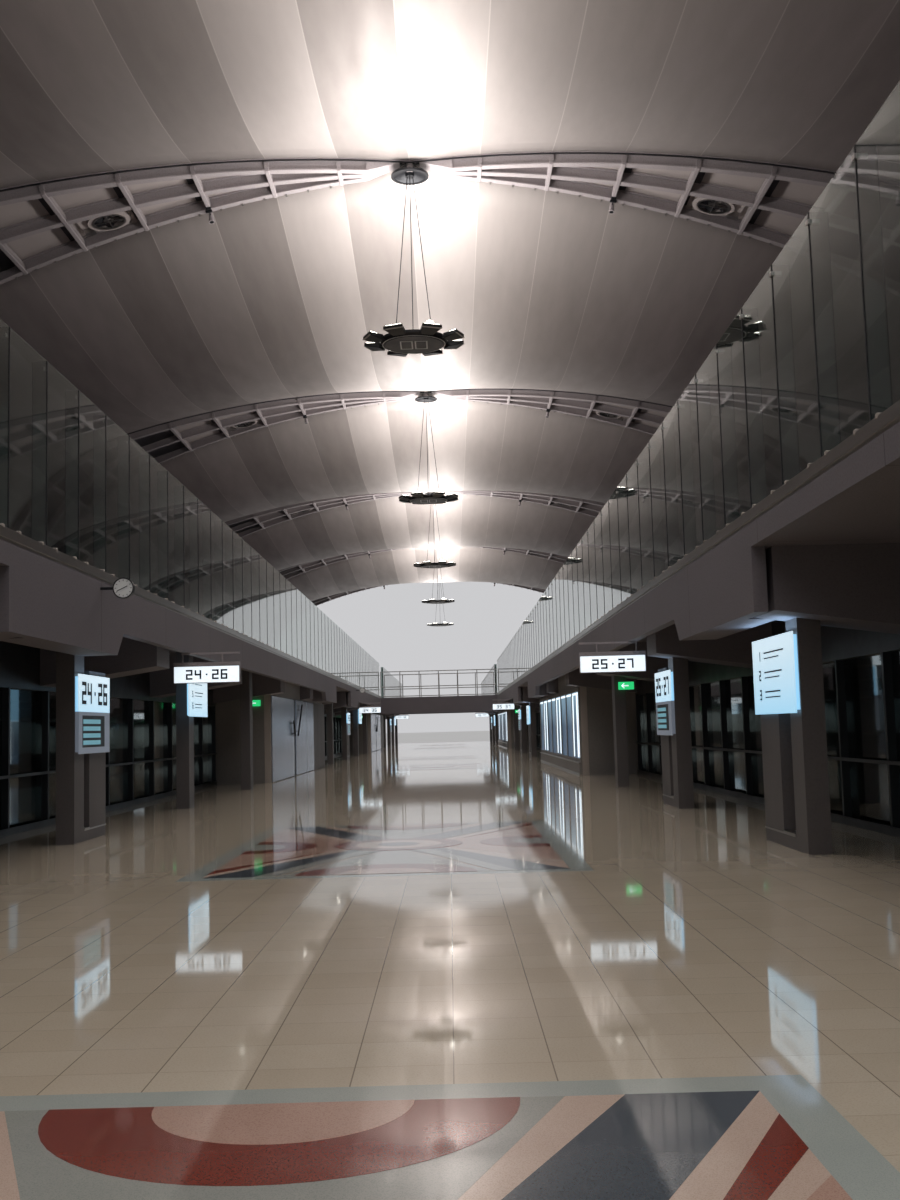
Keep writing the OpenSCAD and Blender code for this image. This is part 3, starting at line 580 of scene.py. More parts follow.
# %% Stones of the inlay: each has soft clouds and fine flecks, and a high polish
STONE_TONES = {
    "border": ("stone_pale_blue", (174, 178, 170), (160, 166, 160), (142, 150, 146)),
    "cream": ("stone_cream", (206, 184, 168), (190, 166, 150), (168, 142, 126)),
    "grey": ("stone_grey", (164, 164, 156), (146, 148, 142), (124, 130, 126)),
    "blue": ("stone_dark_blue", (86, 94, 100), (68, 76, 84), (52, 58, 66)),
    "salmon": ("stone_salmon", (192, 160, 144), (176, 142, 126), (150, 114, 98)),
    "red": ("stone_dark_red", (138, 68, 54), (116, 52, 42), (88, 38, 32)),
}
POLISH = {"scale": 14.0, "speck_scale": 1500.0, "amount": 0.5, "rough": (0.03, 0.08), "IOR": 1.5}
STONES = {stone: speckled(*tones, **POLISH) for stone, tones in STONE_TONES.items()}

# %% [markdown]
# ## Faces lit from behind
# Signs and light boxes glow a little unevenly. Lamps behind a real translucent sheet
# would be slow and grainy to render, so one colour feeds both the base and the emission.
# Two of the faces also drift to a paler tone towards their upper edge.

# %% Faces lit from behind


def light_up(tree, shader, colour, strength):
    """Feeds one colour into a face and into its glow."""
    tree.links.new(colour, shader.inputs["Base Color"])
    tree.links.new(colour, shader.inputs["Emission Color"])
    shader.inputs["Emission Strength"].default_value = strength


def lit(name, colour, strength):
    """A face that is lit from behind, a little less in places."""
    material, tree, shader, glow = clouded(name, 0.3, colour, colour, 16.0)
    dimmer = (*(0.92 * c for c in srgb(*colour)[:3]), 1)
    glow.inputs["Second colour"].default_value = dimmer
    light_up(tree, shader, glow.outputs["Colour"], strength)
    return material


def lit_fade(name, first, second, top_colour, bottom, top, scale, strength):
    """A lit face whose colour drifts from its lower edge to its upper edge."""
    material, tree, shader, drift = clouded(name, 0.3, first, second, scale, stretch=(1, 1, 0.4))
    tall = top - bottom
    up = maths(tree, "MULTIPLY_ADD", axis_of(tree, "Z"), 1 / tall, -bottom / tall)
    share = maths(tree, "MINIMUM", maths(tree, "MAXIMUM", up, 0.0), 1.0)
    faded = blend_colours(tree, share, drift.outputs["Colour"], srgb(*top_colour))
    light_up(tree, shader, faded, strength)
    return material


lit_white = lit("lit_white", (226, 238, 246), 1.05)
lit_blue = lit("lit_blue", (150, 204, 236), 0.9)
lit_green = lit("lit_green", (40, 190, 110), 1.2)
lit_tube = lit("lit_tube", (226, 240, 248), 1.6)
# The light boxes' frames are painted metal, no lamp; their faint glow is painted light that keeps
# them pale.
frame_painted_glow = lit("frame_painted_glow", (150, 160, 176), 0.22)
lit_band = lit("lit_band", (104, 158, 172), 0.65)
lamp_glow = lit("lamp_glow", (255, 250, 240), 9.0)
lit_picture = lit_fade(
    "lit_picture", (84, 116, 146), (36, 52, 72), (150, 186, 208), 0.20, 0.33, 9.0, 0.6)
lit_board = lit_fade(
    "lit_board", (150, 206, 238), (160, 212, 240), (212, 234, 246), 0.20, 0.30, 4.0, 0.85)

# %% [markdown]
# ## The stretched lining
# The lining is a fabric in strips that run from arch to arch. Each strip has its own
# tone and meets the next at a welded seam. The tones and the soft patches over them are
# partly painted sheen, the light that the shiny cloth catches unevenly. Strips are
# numbered by the length along the roof curve, so the material reads the piece's own UV map.

# %% Lining and membrane materials
SEAM = 0.0028


def strip_cloth(name, light, dark, seam, metallic):
    """Cloth in strips: u is metres along the curve, v metres along the hall."""
    material, tree, shader = finish(name, 0.5, metallic=metallic)
    u = axis_of(tree, "X", "UV")
    v = axis_of(tree, "Y", "UV")
    strip = use_group(tree, joints, Position=u, Spacing=RUNG, Width=SEAM)
    # Each strip's tone is partly its own and partly painted sheen, as strips catch the light
    # unevenly.
    tone = tree.nodes.new("ShaderNodeTexWhiteNoise")
    tone.noise_dimensions = "1D"
    tree.links.new(strip.outputs["Number"], tone.inputs["W"])
    spot = tree.nodes.new("ShaderNodeCombineXYZ")
    tree.links.new(maths(tree, "MULTIPLY", u, 14.0), spot.inputs[0])
    tree.links.new(maths(tree, "MULTIPLY", v, 2.5), spot.inputs[1])
    wrinkle_and_painted_sheen = tree.nodes.new("ShaderNodeTexNoise")
    wrinkle_and_painted_sheen.inputs["Scale"].default_value = 1.0
    wrinkle_and_painted_sheen.inputs["Detail"].default_value = 5
    tree.links.new(spot.outputs[0], wrinkle_and_painted_sheen.inputs["Vector"])
    # The noise also moves the colour in soft patches, which is painted sheen; the roughness and
    # bump it gives below are real.
    soft = maths(tree, "MULTIPLY", wrinkle_and_painted_sheen.outputs[0], 0.45)
    mixed = maths(tree, "MULTIPLY_ADD", tone.outputs["Value"], 0.65, soft)
    cloth = blend_colours(tree, mixed, light, dark)
    weld = maths(tree, "MULTIPLY", strip.outputs["Line"], 0.55)
    tree.links.new(blend_colours(tree, weld, cloth, seam), shader.inputs["Base Color"])
    tree.links.new(spread(tree, wrinkle_and_painted_sheen.outputs[0], 0.34, 0.62), shader.inputs["Roughness"])
    ridge = maths(tree, "ADD", wrinkle_and_painted_sheen.outputs[0], strip.outputs["Line"])
    roughen(tree, shader, ridge, 0.2, 0.003)
    return material


lining_cloth = strip_cloth(
    "lining_cloth", srgb(204, 196, 193), srgb(150, 142, 139), srgb(222, 215, 211), 0.65)
roof_cloth = strip_cloth(
    "roof_cloth", srgb(222, 220, 214), srgb(206, 204, 198), srgb(168, 166, 162), 0.0)

# %% [markdown]
# ## Roof sheets
# A sheet sags between two arches and its edges follow their splayed chords. A grid is
# made first, then each of its points is moved onto the curve, so the shape stays smooth.

# %% Roof sheets
SHEET_THICK, SHEET_EDGE = 0.008, 0.0213


def roof_sheet(name, node, first_arch, rise, sag, material, rows, columns):
    """A sagging sheet over one bay, with a UV map in metres."""
    bm = bmesh.new()
    bmesh.ops.create_grid(bm, x_segments=columns, y_segments=rows, size=1)
    chart = bm.loops.layers.uv.new("UVMap")
    flat = {v: (v.co.x * CURVE_LEN, (v.co.y + 1) / 2) for v in bm.verts}
    for face in bm.faces:
        for corner in face.loops:
            s, share = flat[corner.vert]
            corner[chart].uv = (s + RUNG * 20, share * BAY)
    for vert, (s, share) in flat.items():
        drop = rise - sag * (1 - 0.6 * abs(s) / CURVE_LEN) * 4 * share * (1 - share)
        edge = splay_at(s, rise + SHEET_THICK) + SHEET_EDGE
        _, x, z = roof_place(s, drop)
        vert.co = (x, first_arch + edge + share * (BAY - 2 * edge), z)
    bmesh.ops.recalc_face_normals(bm, faces=bm.faces)
    above = Vector((0, first_arch + BAY / 2, 2))
    middle = min(bm.faces, key=lambda f: (f.calc_center_median() - above).length)
    if middle.normal.z < 0:
        bmesh.ops.reverse_faces(bm, faces=bm.faces)
    grown = bmesh.ops.solidify(bm, geom=list(bm.faces), thickness=-SHEET_THICK)
    print(name, "solidified", len(grown["geom"]))
    return piece(name, bm, material, smooth=True, replaces=(node,))


for k, y in enumerate(ARCHES[:-1], 1):
    roof_sheet(f"lining_sheet_{k}", f"lining_{k}", y, 0.033, 0.200, lining_cloth, 16, 56)
    roof_sheet(f"membrane_sheet_{k}", f"membrane_{k}", y, 0.090, 0.120, roof_cloth, 12, 48)

# %% [markdown]
# ## Helpers that follow the roof
# Most roof fittings sit on the curve of an arch. A frame on the curve has its X along
# the curve, its Y along the hall and its Z outwards, so a fitting is drawn flat in it.

# %% Helpers that follow the roof


def on_roof(s, rise, y):
    """A frame on the roof curve at a length s from the crown."""
    a, x, z = roof_place(s, rise)
    return shift(x, y, z) @ turned(a, "Y")


def add_roof_box(bm, s, y, low, high, long, wide):
    """Adds a box on the roof curve: long along the curve, wide along the hall."""
    size = Matrix.Diagonal((long, wide, high - low, 1))
    place = on_roof(s, (low + high) / 2, y)
    bmesh.ops.create_cube(bm, size=1, matrix=place @ size)


def add_roof_strip(bm, arch_y, turn, near, far, low, high, start=-CURVE_LEN, end=CURVE_LEN,
                   steps=44, splay=SPLAY):
    """Sweeps a rectangle along the roof curve, at a distance from an arch's splayed chord."""
    rings = []
    for k in range(steps + 1):
        s = start + (end - start) * k / steps
        ring = []
        for off, rise in ((near, low), (far, low), (far, high), (near, high)):
            _, x, z = roof_place(s, rise)
            ring.append(bm.verts.new((x, arch_y + turn * (splay * abs(x) + off), z)))
        rings.append(ring)
    for one, two in zip(rings, rings[1:]):
        for k in range(4):
            bm.faces.new((one[k], one[(k + 1) % 4], two[(k + 1) % 4], two[k]))
    bm.faces.new(rings[0])
    bm.faces.new(rings[-1])


RUNGS = [k * RUNG for k in range(1, int((CURVE_LEN - 0.014) / RUNG) + 1)]
print(len(RUNGS), "rungs on each half of an arch")

# %% [markdown]
# ## Arch details
# A pressed channel covers the underside of each rung. The panels between the chords stop
# short of each rung, and further out the bays stand open. Dark plates in these slots and
# open bays are painted shade, for the dark seen through the gaps.
# Near a quarter of the span one panel on each side holds a round extract fan, and a small
# spotlight hangs from the far chord at the third rung.

# %% Rung channels, painted shade in the slots, and chord stiffeners
FIRST_OPEN_BAY = 5
channels, slot_shade_plates, ribs, lugs = new_meshes(4)
for y in ARCHES:
    for side in (-1, 1):
        for length in RUNGS:
            s = side * length
            reach = splay_at(s, 0.02)
            add_roof_box(channels, s, y, -0.003, 0.0093, 0.013, 2 * reach + 0.026)
            for chord in (-1, 0, 1):
                for face in (-1, 1):
                    at = y + chord * reach + face * 0.0075
                    add_roof_box(ribs, s, at, 0.0045, 0.0325, 0.004, 0.009)
            # A dark plate beside each rung paints the shade in the panel's slot.
            for panel in (-0.5, 0.5):
                wide = reach - 0.030
                if wide > 0.02:
                    add_roof_box(
                        slot_shade_plates, s + side * 0.022, y + panel * reach, 0.030, 0.0355, 0.024, wide)
        # Dark plates over the open bays paint the shade seen through them.
        for near, far in zip(RUNGS[FIRST_OPEN_BAY:-1], RUNGS[FIRST_OPEN_BAY + 1:]):
            s = side * (near + far) / 2
            reach = splay_at(s, 0.02)
            long, wide = far - near - 0.012, reach - 0.020
            for panel in (-0.5, 0.5):
                add_roof_box(slot_shade_plates, s, y + panel * reach, 0.0305, 0.0352, long, wide)
        for k in range(3, 3 * len(RUNGS)):
            s = side * (k + 0.5) * RUNG / 3
            add_roof_box(lugs, s, y + splay_at(s) + 0.0095, -0.0060, 0.0005, 0.006, 0.005)
soften(channels, 0.0015, 1)
piece("rung_channels", channels, truss_paint)
piece("chord_ribs", ribs, truss_paint)
piece("rung_slot_shade", slot_shade_plates, dark_metal)
piece("chord_lugs", lugs, brushed_metal)

# %% [markdown]
# ## Shadow bands and glazing bars
# A dark band lines the joint between each lining and the arch, painted shadow for the
# gap there, and bars hold the strip over the chords. Both follow the whole roof curve, so
# a small rectangle is swept along it. No operator sweeps along a formula, so here the
# rings are joined face by face.

# %% Dark bands of painted shadow where the lining meets the kerbs, and glazing bars on the roof lights
shadow_gap_bands, bars = new_meshes(2)
for y in ARCHES:
    for turn in (-1, 1):
        # Each dark band paints the shadow in the gap between lining and kerb.
        add_roof_strip(shadow_gap_bands, y, turn, 0.0150, 0.0210, 0.0275, 0.0302)
        add_roof_strip(bars, y, turn, 0.0148, 0.0235, 0.0975, 0.0978)
    for side in (-1, 1):
        for length in RUNGS:
            reach = splay_at(side * length, 0.04) + 0.0145
            add_roof_box(bars, side * length, y, 0.0405, 0.050, 0.008, 2 * reach)
        ends = side * 0.09, side * CURVE_LEN
        add_roof_strip(bars, y, 1, -0.003, 0.003, 0.0405, 0.049, *ends, steps=22, splay=0)
piece("lining_shadow_bands", shadow_gap_bands, dark_metal)
piece("glazing_bars", bars, truss_paint)

# %% [markdown]
# ## Extract fans
# A fan sits in a round opening of the panel between two chords. Four flat pieces round a
# ring make that panel, which is simpler than cutting a hole in a plate. Six tilted plates
# are the blades, two crossed bars guard them, and a small louvre stands beside.

# %% Extract fans in round openings of a panel
FAN_R, FAN_HOLE = 0.052, 0.066
PAN_LOW, PAN_HIGH = 0.0275, 0.0300
pans, rims, blades, louvres = new_meshes(4)
for y in ARCHES:
    for side in (-1, 1):
        s = side * (RUNGS[3] + RUNGS[4]) / 2
        reach = splay_at(s, 0.02)
        middle = on_roof(s - side * 0.008, 0, y + reach / 2)
        add_ring(pans, middle, FAN_R, FAN_HOLE, 0.016, 0.0295, 40)
        left, right = sorted((-side * 0.076, side * 0.094))
        edge = reach / 2 - 0.016
        for x0, x1, y0, y1 in ((left, right, -edge, -0.064), (left, right, 0.064, edge),
                               (left, -0.062, -0.064, 0.064), (0.062, right, -0.064, 0.064)):
            add_block(pans, middle, (x0, y0, PAN_LOW), (x1, y1, PAN_HIGH))
        add_ring(rims, middle, 0.046, 0.0525, 0.0135, 0.0185, 40)
        add_ring(rims, middle, 0.012, 0.016, 0.019, 0.027, 20)
        for k in range(6):
            blade = middle @ turned(k * math.pi / 3, "Z") @ turned(0.5, "X")
            add_block(blades, blade, (0.014, -0.011, 0.0235), (0.048, 0.011, 0.0247))
        for x, across in ((FAN_R, 0.0015), (0.0015, FAN_R)):
            add_block(rims, middle, (-x, -across, 0.0145), (x, across, 0.0170))
        low, high = sorted((side * 0.054, side * 0.088))
        add_block(louvres, middle, (low, 0.036, 0.012), (high, 0.060, 0.0285))
piece("fan_panels", pans, panel_infill)
piece("fan_rims", rims, brushed_metal)
piece("fan_blades", blades, dark_metal)
piece("fan_louvres", louvres, brushed_metal)

# %% [markdown]
# ## Spotlights
# A spotlight hangs below each half of an arch. Its head is a cone with a rim and a dark
# lens. All its parts are drawn in one frame on the roof curve, so each copy leans with
# the arch that carries it.

# %% Spotlights: a clip, a box and an arm, then the head with its lens
spots, heads, lenses = new_meshes(3)
for y in ARCHES:
    for side in (-1, 1):
        hang = on_roof(side * RUNGS[2], 0, y + splay_at(RUNGS[2]))
        add_block(spots, hang, (-0.008, -0.034, -0.010), (0.008, -0.012, -0.003))
        add_block(spots, hang, (-0.010, -0.028, -0.016), (0.010, -0.020, -0.010))
        add_block(spots, hang, (-0.0015, -0.022, -0.014), (0.0015, 0.004, -0.010))
        aim = hang @ shift(0, 0.006, -0.022) @ turned(-0.25, "X")
        add_round(heads, aim, 0.0090, 0.0062, 0.030)
        add_ring(heads, aim, 0.0066, 0.0096, -0.0160, -0.0130, 20)
        add_round(lenses, aim @ shift(0, 0, -0.0154), 0.0080, 0.0080, 0.001)
piece("spotlights", spots, dark_metal)
piece("spotlight_heads", heads, truss_paint)
piece("spotlight_lenses", lenses, dark_metal)

# %% [markdown]
# ## Crown pins
# The two halves of an arch meet at a pin between two cheeks, over a dark dish. Eight
# short struts hold the dish. A rod between two points is the simplest strut, so each one
# is placed by its angle round the pin.

# %% Crown details
PIN_Z, DISH_Z = FLOOR + 1.873, FLOOR + 1.8365
struts, cheeks, dishes = new_meshes(3)
for y in ARCHES:
    for k in range(8):
        a = (k + 0.5) * math.pi / 4
        top = 0.014 * math.cos(a), y + 0.010 * math.sin(a), PIN_Z - 0.001
        foot = 0.050 * math.cos(a), y + 0.050 * math.sin(a), DISH_Z
        add_rod(struts, top, foot, 0.0016, 8)
    add_ring(dishes, shift(0, y, DISH_Z), 0.0485, 0.0570, -0.0055, 0.0010, 48)
    for side in (-1, 1):
        face = y + side * 0.0145
        add_side_box(cheeks, 1, (-0.009, 0.009), (face - 0.002, face + 0.002), (1.842, 1.884))
        add_rod(cheeks, (side * 0.018, y - 0.0155, PIN_Z), (side * 0.018, y + 0.0155, PIN_Z), 0.004)
piece("dish_struts", struts, brushed_metal)
piece("dish_rims", dishes, dark_metal)
piece("pin_cheeks", cheeks, truss_paint)

# %% [markdown]
# ## Lamp rings
# Below each crown hangs a ring of eight flared lamps that shine up at the lining. A head
# is a box whose points are moved, wider and thinner towards its outer end. Two of the
# eight show a bare bulb. A round cover with two framed hatches closes the ring below.

# %% Lamp rings
RING_Z, LAMPS, LAMP_TILT = FLOOR + 1.318, 8, math.radians(6)
BARE_BULBS = (2, 6)
shells, edges, tops, hatches, arms, covers = new_meshes(6)


def flare(made, head, start, long, wider, thinner=0.0):
    """Widens and thins a box along its frame's X, from a start over a length."""
    inverse = head.inverted()
    for vert in made:
        at = inverse @ vert.co
        share = (at.x - start) / long
        at.y *= 1 + wider * share
        at.z *= 1 - thinner * share
        vert.co = head @ at


for y in ARCHES:
    ring = shift(0, y, RING_Z)
    for k in range(LAMPS):
        out = ring @ turned((k + 0.5) * math.tau / LAMPS, "Z") @ shift(0.100, 0, 0)
        head = out @ turned(-LAMP_TILT, "Y")
        made = add_block(shells, head, (0.004, -0.019, -0.0085), (0.0505, 0.019, 0.0085))
        flare(made, head, 0.004, 0.0465, 0.62, 0.45)
        for low, high in ((-0.0058, -0.0034), (0.0034, 0.0054)):
            add_block(edges, head, (0.0475, -0.0305, low), (0.0515, 0.0305, high))
        made = add_block(tops, head, (0.012, -0.0165, 0.0040), (0.0465, 0.0165, 0.0084))
        flare(made, head, 0.012, 0.0345, 0.5)
        if k in BARE_BULBS:
            bmesh.ops.create_uvsphere(tops, u_segments=20, v_segments=10, radius=0.013,
                                      matrix=head @ shift(0.032, 0, 0.011))
        for arm in (-0.012, 0.012):
            add_block(arms, out, (-0.006, arm - 0.0018, -0.0035), (0.012, arm + 0.0018, 0.0045))
    add_round(covers, ring @ shift(0, 0, -0.0086), 0.0865, 0.0885, 0.0012, 48)
    for side in (-1, 1):
        middle = ring @ shift(side * 0.0220, 0, 0)
        for turn in (-1, 1):
            low, high = sorted((turn * 0.0150, turn * 0.0190))
            add_block(hatches, middle, (low, -0.040, -0.0100), (high, 0.040, -0.0090))
            low, high = sorted((turn * 0.0360, turn * 0.0400))
            add_block(hatches, middle, (-0.0150, low, -0.0100), (0.0150, high, -0.0090))
    add_ring(hatches, ring, 0.0925, 0.0945, -0.0087, -0.0079, 48)
soften(shells, 0.0012, 2)
piece("lamp_shells", shells, dark_metal, replaces=("lamp_heads",))
piece("lamp_edges", edges, brushed_metal)
piece("lamp_glasses", tops, lamp_glow)
piece("disc_covers", covers, dark_metal)
piece("disc_frames", hatches, white_face)
piece("lamp_arms", arms, dark_metal)

# %% [markdown]
# ## Deck screens
# Each pane stands in a metal shoe, between small clamps beside each of its joints. A dark
# seal closes each joint, another lines the fin's edge, and a clip at the top of each joint
# holds the fin. The clip is a short one on the left and reaches through on the right.

# %% Screen clamps, seals and clips
PANE, SCREEN_X, SHOE = BAY / 18, 0.451, DECK - FLOOR
CLAMP_Z = SHOE + 0.0095, SHOE + 0.0150
BRIDGE = 3.44, 4.06
CLIP_X = {-1: (0.0030, 0.0045), 1: (-0.0030, 0.0105)}
JOINTS = [k * PANE for k in range(-56, 57) if not BRIDGE[0] < k * PANE < BRIDGE[1]]
clamps, joint_seals, clips = new_meshes(3)


def screen_box(bm, side, x, y, half, z):
    """A small box on a deck screen, its x counted outwards from the pane's middle."""
    add_side_box(bm, side, (SCREEN_X + x[0], SCREEN_X + x[1]), (y - half, y + half), z)


for side in (-1, 1):
    for y in JOINTS:
        for off in (-0.030, 0.030):
            screen_box(clamps, side, (-0.0064, 0.0064), y + off, 0.0032, CLAMP_Z)
        screen_box(joint_seals, side, (-0.0016, 0.0014), y, 0.0013, (SHOE + 0.013, 0.669))
        screen_box(joint_seals, side, (0.0192, 0.0202), y, 0.0012, (SHOE + 0.013, 0.668))
        screen_box(clips, side, CLIP_X[side], y, 0.0045, (0.6560, 0.6605))
soften(clamps, 0.0008, 1)
piece("screen_clamps", clamps, pale_trim)
piece("screen_seals", joint_seals, dark_metal)
piece("fin_clips", clips, brushed_metal)

# %% [markdown]
# ## Numbers without lettering
# The lit signs carry plain numbers only. A text object would need a typeface, so each
# figure is built here from up to seven short strokes, as on a simple display.

# %% Numbers for the signs
STROKES = {"a": (0, 1), "b": (1, 0.5), "c": (1, -0.5), "d": (0, -1), "e": (-1, -0.5),
           "f": (-1, 0.5), "g": (0, 0)}
FIGURES = {"0": "abcdef", "1": "bc", "2": "abged", "3": "abgcd", "4": "fgbc", "5": "afgcd",
           "6": "afgecd", "7": "abc", "8": "abcdefg", "9": "abfgcd"}


def add_number(bm, matrix, figures, height, thick=0.0004):
    """Draws figures in the X and Z of a frame, centred, standing proud towards -Y."""
    wide, pen = height * 0.50, height * 0.17
    pitch = height * 0.88
    for k, figure in enumerate(figures):
        middle = (k - (len(figures) - 1) / 2) * pitch
        if figure == ".":
            dot = pen / 2
            add_block(bm, matrix, (middle - dot, -thick, -dot), (middle + dot, 0, dot))
            continue
        for stroke in FIGURES.get(figure, ""):
            across, up = STROKES[stroke]
            x, z = middle + across * wide / 2, up * (height - pen) / 2
            level = across == 0
            half_x = wide / 2 + pen / 2 if level else pen / 2
            half_z = pen / 2 if level else height / 4
            add_block(bm, matrix, (x - half_x, -thick, z - half_z), (x + half_x, 0, z + half_z))


def gate_label(n, side):
    """A made-up pair of gate numbers: even ones on the left, odd ones on the right."""
    first, second = (4, 6) if side < 0 else (5, 7)
    return f"{n + 2}{first}.{n + 2}{second}"


# %% [markdown]
# ## Hanging gate signs
# A lit sign hangs on two rods from a rail under each deck. Its case is a thin frame round
# a glowing block, with numbers that stand proud of both faces. The mesh of the numbers
# stays open here, because the light boxes add theirs before it is closed.

# %% Hanging gate signs
SIGN_X, SIGN_Y, SIGN_Z = (0.344, 0.478), 1.53, 0.268
RAIL_X, RAIL_Z = (0.344, 0.462), (0.326, 0.330)
cases, faces, ink = new_meshes(3)
for n, well in enumerate(WELLS):
    y = well + SIGN_Y
    depth = y - 0.005, y + 0.005
    low, high = SIGN_X
    for side in (-1, 1):
        add_side_box(cases, side, SIGN_X, depth, (SIGN_Z + 0.0335, SIGN_Z + 0.042))
        for x in ((low, low + 0.0012), (high - 0.0012, high)):
            add_side_box(cases, side, x, depth, (SIGN_Z, SIGN_Z + 0.034))
        add_side_box(cases, side, SIGN_X, depth, (SIGN_Z, SIGN_Z + 0.0012))
        add_side_box(cases, side, RAIL_X, (y - 0.002, y + 0.002), RAIL_Z)
        for x in (side * 0.3795, side * 0.460):
            add_rod(cases, (x, y, FLOOR + SIGN_Z + 0.041), (x, y, FLOOR + 0.327), 0.0016, 10)
        add_side_box(faces, side, (low + 0.0013, high - 0.0013), (y - 0.0044, y + 0.0044),
                     (SIGN_Z + 0.0013, SIGN_Z + 0.0334))
        middle = shift(side * (low + high) / 2, y, FLOOR + SIGN_Z + 0.0172)
        for turn in (0, math.pi):
            spot = middle @ turned(turn, "Z") @ shift(0, -0.0044, 0)
            add_number(ink, spot, gate_label(n, side), 0.020)
piece("sign_cases", cases, truss_paint, replaces=("gate_signs",))
piece("sign_faces", faces, lit_white)

# %% [markdown]
# ## Light boxes
# A light box hangs on each pier and faces the well. Two of three are lit in their upper
# half, with a gate number, above a plate with a small dark screen. The third is lit all
# over and gives directions as plain bars. Each is drawn flat in a frame, then turned.

# %% Light boxes and direction boards
# Each box: side, start past the well's middle, length, lower and upper edge, all lit or not.
BOXES = ((-1, 0.940, 0.185, 0.139, 0.265, False), (1, 1.395, 0.185, 0.139, 0.265, False),
         (1, 0.495, 0.213, 0.172, 0.273, True))
BOX_X, BOARD_X = 0.510, 0.4985
bodies, glows, plates, screens, bands = new_meshes(5)


def add_lines(board, face, start, ends, rows, first):
    """Three numbered directions on a board, each a long bar over a short one."""
    bar = start + 0.025
    for k, z in enumerate(rows):
        add_number(ink, board @ shift(start, face, z), f"{k + first}", 0.014)
        end = ends[0] - 0.012 * k
        add_block(ink, board, (bar, face - 0.0003, z + 0.0025), (end, face, z + 0.0045))
        add_block(ink, board, (bar, face - 0.0003, z - 0.0045), (ends[1], face, z - 0.0030))


for n, well in enumerate(WELLS):
    for side, past, long, low, high, big in BOXES:
        # In the box's frame -Y faces the well, X runs along the hall and Z is up.
        box = shift(side * BOX_X, well + past, FLOOR + low) @ turned(side * -math.pi / 2, "Z")
        tall = high - low
        x0, x1 = sorted((0, -side * long))
        split = 0.0 if big else tall * 0.53
        foot = max(0.004, split)
        add_block(bodies, box, (x0 + 0.004, -0.0052, foot), (x1 - 0.004, 0, tall - 0.004))
        add_block(glows, box, (x0, -0.0070, split), (x1, -0.0052, tall))
        above = side * 0.500, well + past + long / 2, FLOOR + high + 0.003
        soft_lamp(f"box_light_{n}_{side}_{big}", above, (0.014, long), 0.10 if big else 0.03,
                  up=True, tint=COOL)
        if big:
            add_lines(box, -0.0070, x0 + 0.040, (x1 - 0.045, x1 - 0.070), (0.078, 0.052, 0.026), 1)
            continue
        add_block(plates, box, (x0 + 0.003, -0.0053, 0.003), (x1 - 0.003, 0, split))
        add_block(plates, box, (x0, -0.0070, 0), (x1, -0.0053, split))
        add_block(screens, box, (x0 + 0.020, -0.0073, 0.010), (x1 - 0.034, -0.0069, split - 0.006))
        for k in range(4):
            z = 0.014 + k * (split - 0.022) / 4
            add_block(bands, box, (x0 + 0.023, -0.0076, z), (x1 - 0.060, -0.0072, z + 0.007))
        spot = box @ shift((x0 + x1) / 2, -0.0070, (split + tall) / 2)
        add_number(ink, spot, gate_label(n, side), 0.036)
    # A direction board hangs on the face of the next column on the left.
    board = shift(-BOARD_X, well + 1.867, FLOOR + 0.205) @ turned(math.pi / 2, "Z")
    add_block(bodies, board, (-0.102, -0.0030, 0.002), (0.102, 0.0005, 0.096))
    add_block(glows, board, (-0.105, -0.0060, 0), (0.105, -0.0030, 0.098))
    add_lines(board, -0.0060, -0.070, (0.062, 0.038), (0.076, 0.050, 0.024), 4)
soften(plates, 0.0006, 1)
piece("box_bodies", bodies, lit_blue, replaces=("light_boxes",))
piece("box_faces", glows, lit_board)
# The plates glow faintly: painted light on a painted frame.
piece("box_plates", plates, frame_painted_glow)
piece("box_screens", screens, dark_metal)
piece("box_bands", bands, lit_band)
piece("sign_figures", ink, ink_paint)

# %% [markdown]
# ## Edges of the pier feet
# Each pier stands on a low foot, with a thin metal strip on its top and one along its
# front. They are so slim that plain boxes will do.

# %% Pale edges on the pier feet
feet = bmesh.new()
for well in WELLS:
    for side, past, long, *_ in BOXES:
        start, end = well + past + 0.0545, well + past + long
        add_side_box(feet, side, (0.509, 0.535), (start, end - 0.100), (0.0188, 0.0205))
        add_side_box(feet, side, (0.5092, 0.5103), (start, end), (0.0165, 0.0188))
piece("foot_edges", feet, brushed_metal)

# %% [markdown]
# ## Clocks
# A round clock with two faces stands out from the left deck's edge at each well. One face
# is drawn in a frame, and half a turn of the frame draws the other. Short strokes mark
# the hours, so it carries no figures.

# %% Clocks
HOURS = 12
CLOCK_HANDS = ((-1.1, 0.0006, 0.0070, 0.0038), (2.0, 0.0005, 0.0105, 0.0040))
faces, rims, hands = new_meshes(3)
for well in WELLS:
    spot = shift(-0.410, well + 0.85, FLOOR + 0.388) @ turned(math.pi / 2, "X")
    add_round(faces, spot, 0.0148, 0.0148, 0.0070, 48)
    add_ring(rims, spot, 0.0142, 0.0160, -0.0040, 0.0040, 48)
    add_side_box(rims, -1, (0.4255, 0.445), (well + 0.848, well + 0.852), (0.386, 0.390))
    for turn in (0, math.pi):
        front = spot @ turned(turn, "X")
        for k in range(HOURS):
            mark = front @ turned(k * math.tau / HOURS, "Z")
            add_block(hands, mark, (-0.0004, 0.0105, 0.0034), (0.0004, 0.0130, 0.0037))
        for angle, half, long, top in CLOCK_HANDS:
            hand = front @ turned(angle, "Z")
            add_block(hands, hand, (-half, -0.001, 0.0034), (half, long, top))
piece("clock_faces", faces, white_face, replaces=("clocks",))
piece("clock_rims", rims, dark_metal)
piece("clock_hands", hands, ink_paint)

# %% [markdown]
# ## Exit signs
# Small green lit panels stand at both ends of each service block. Their arrow is one bar
# with two short bars turned by 45 degrees at its tip, so no lettering is needed.

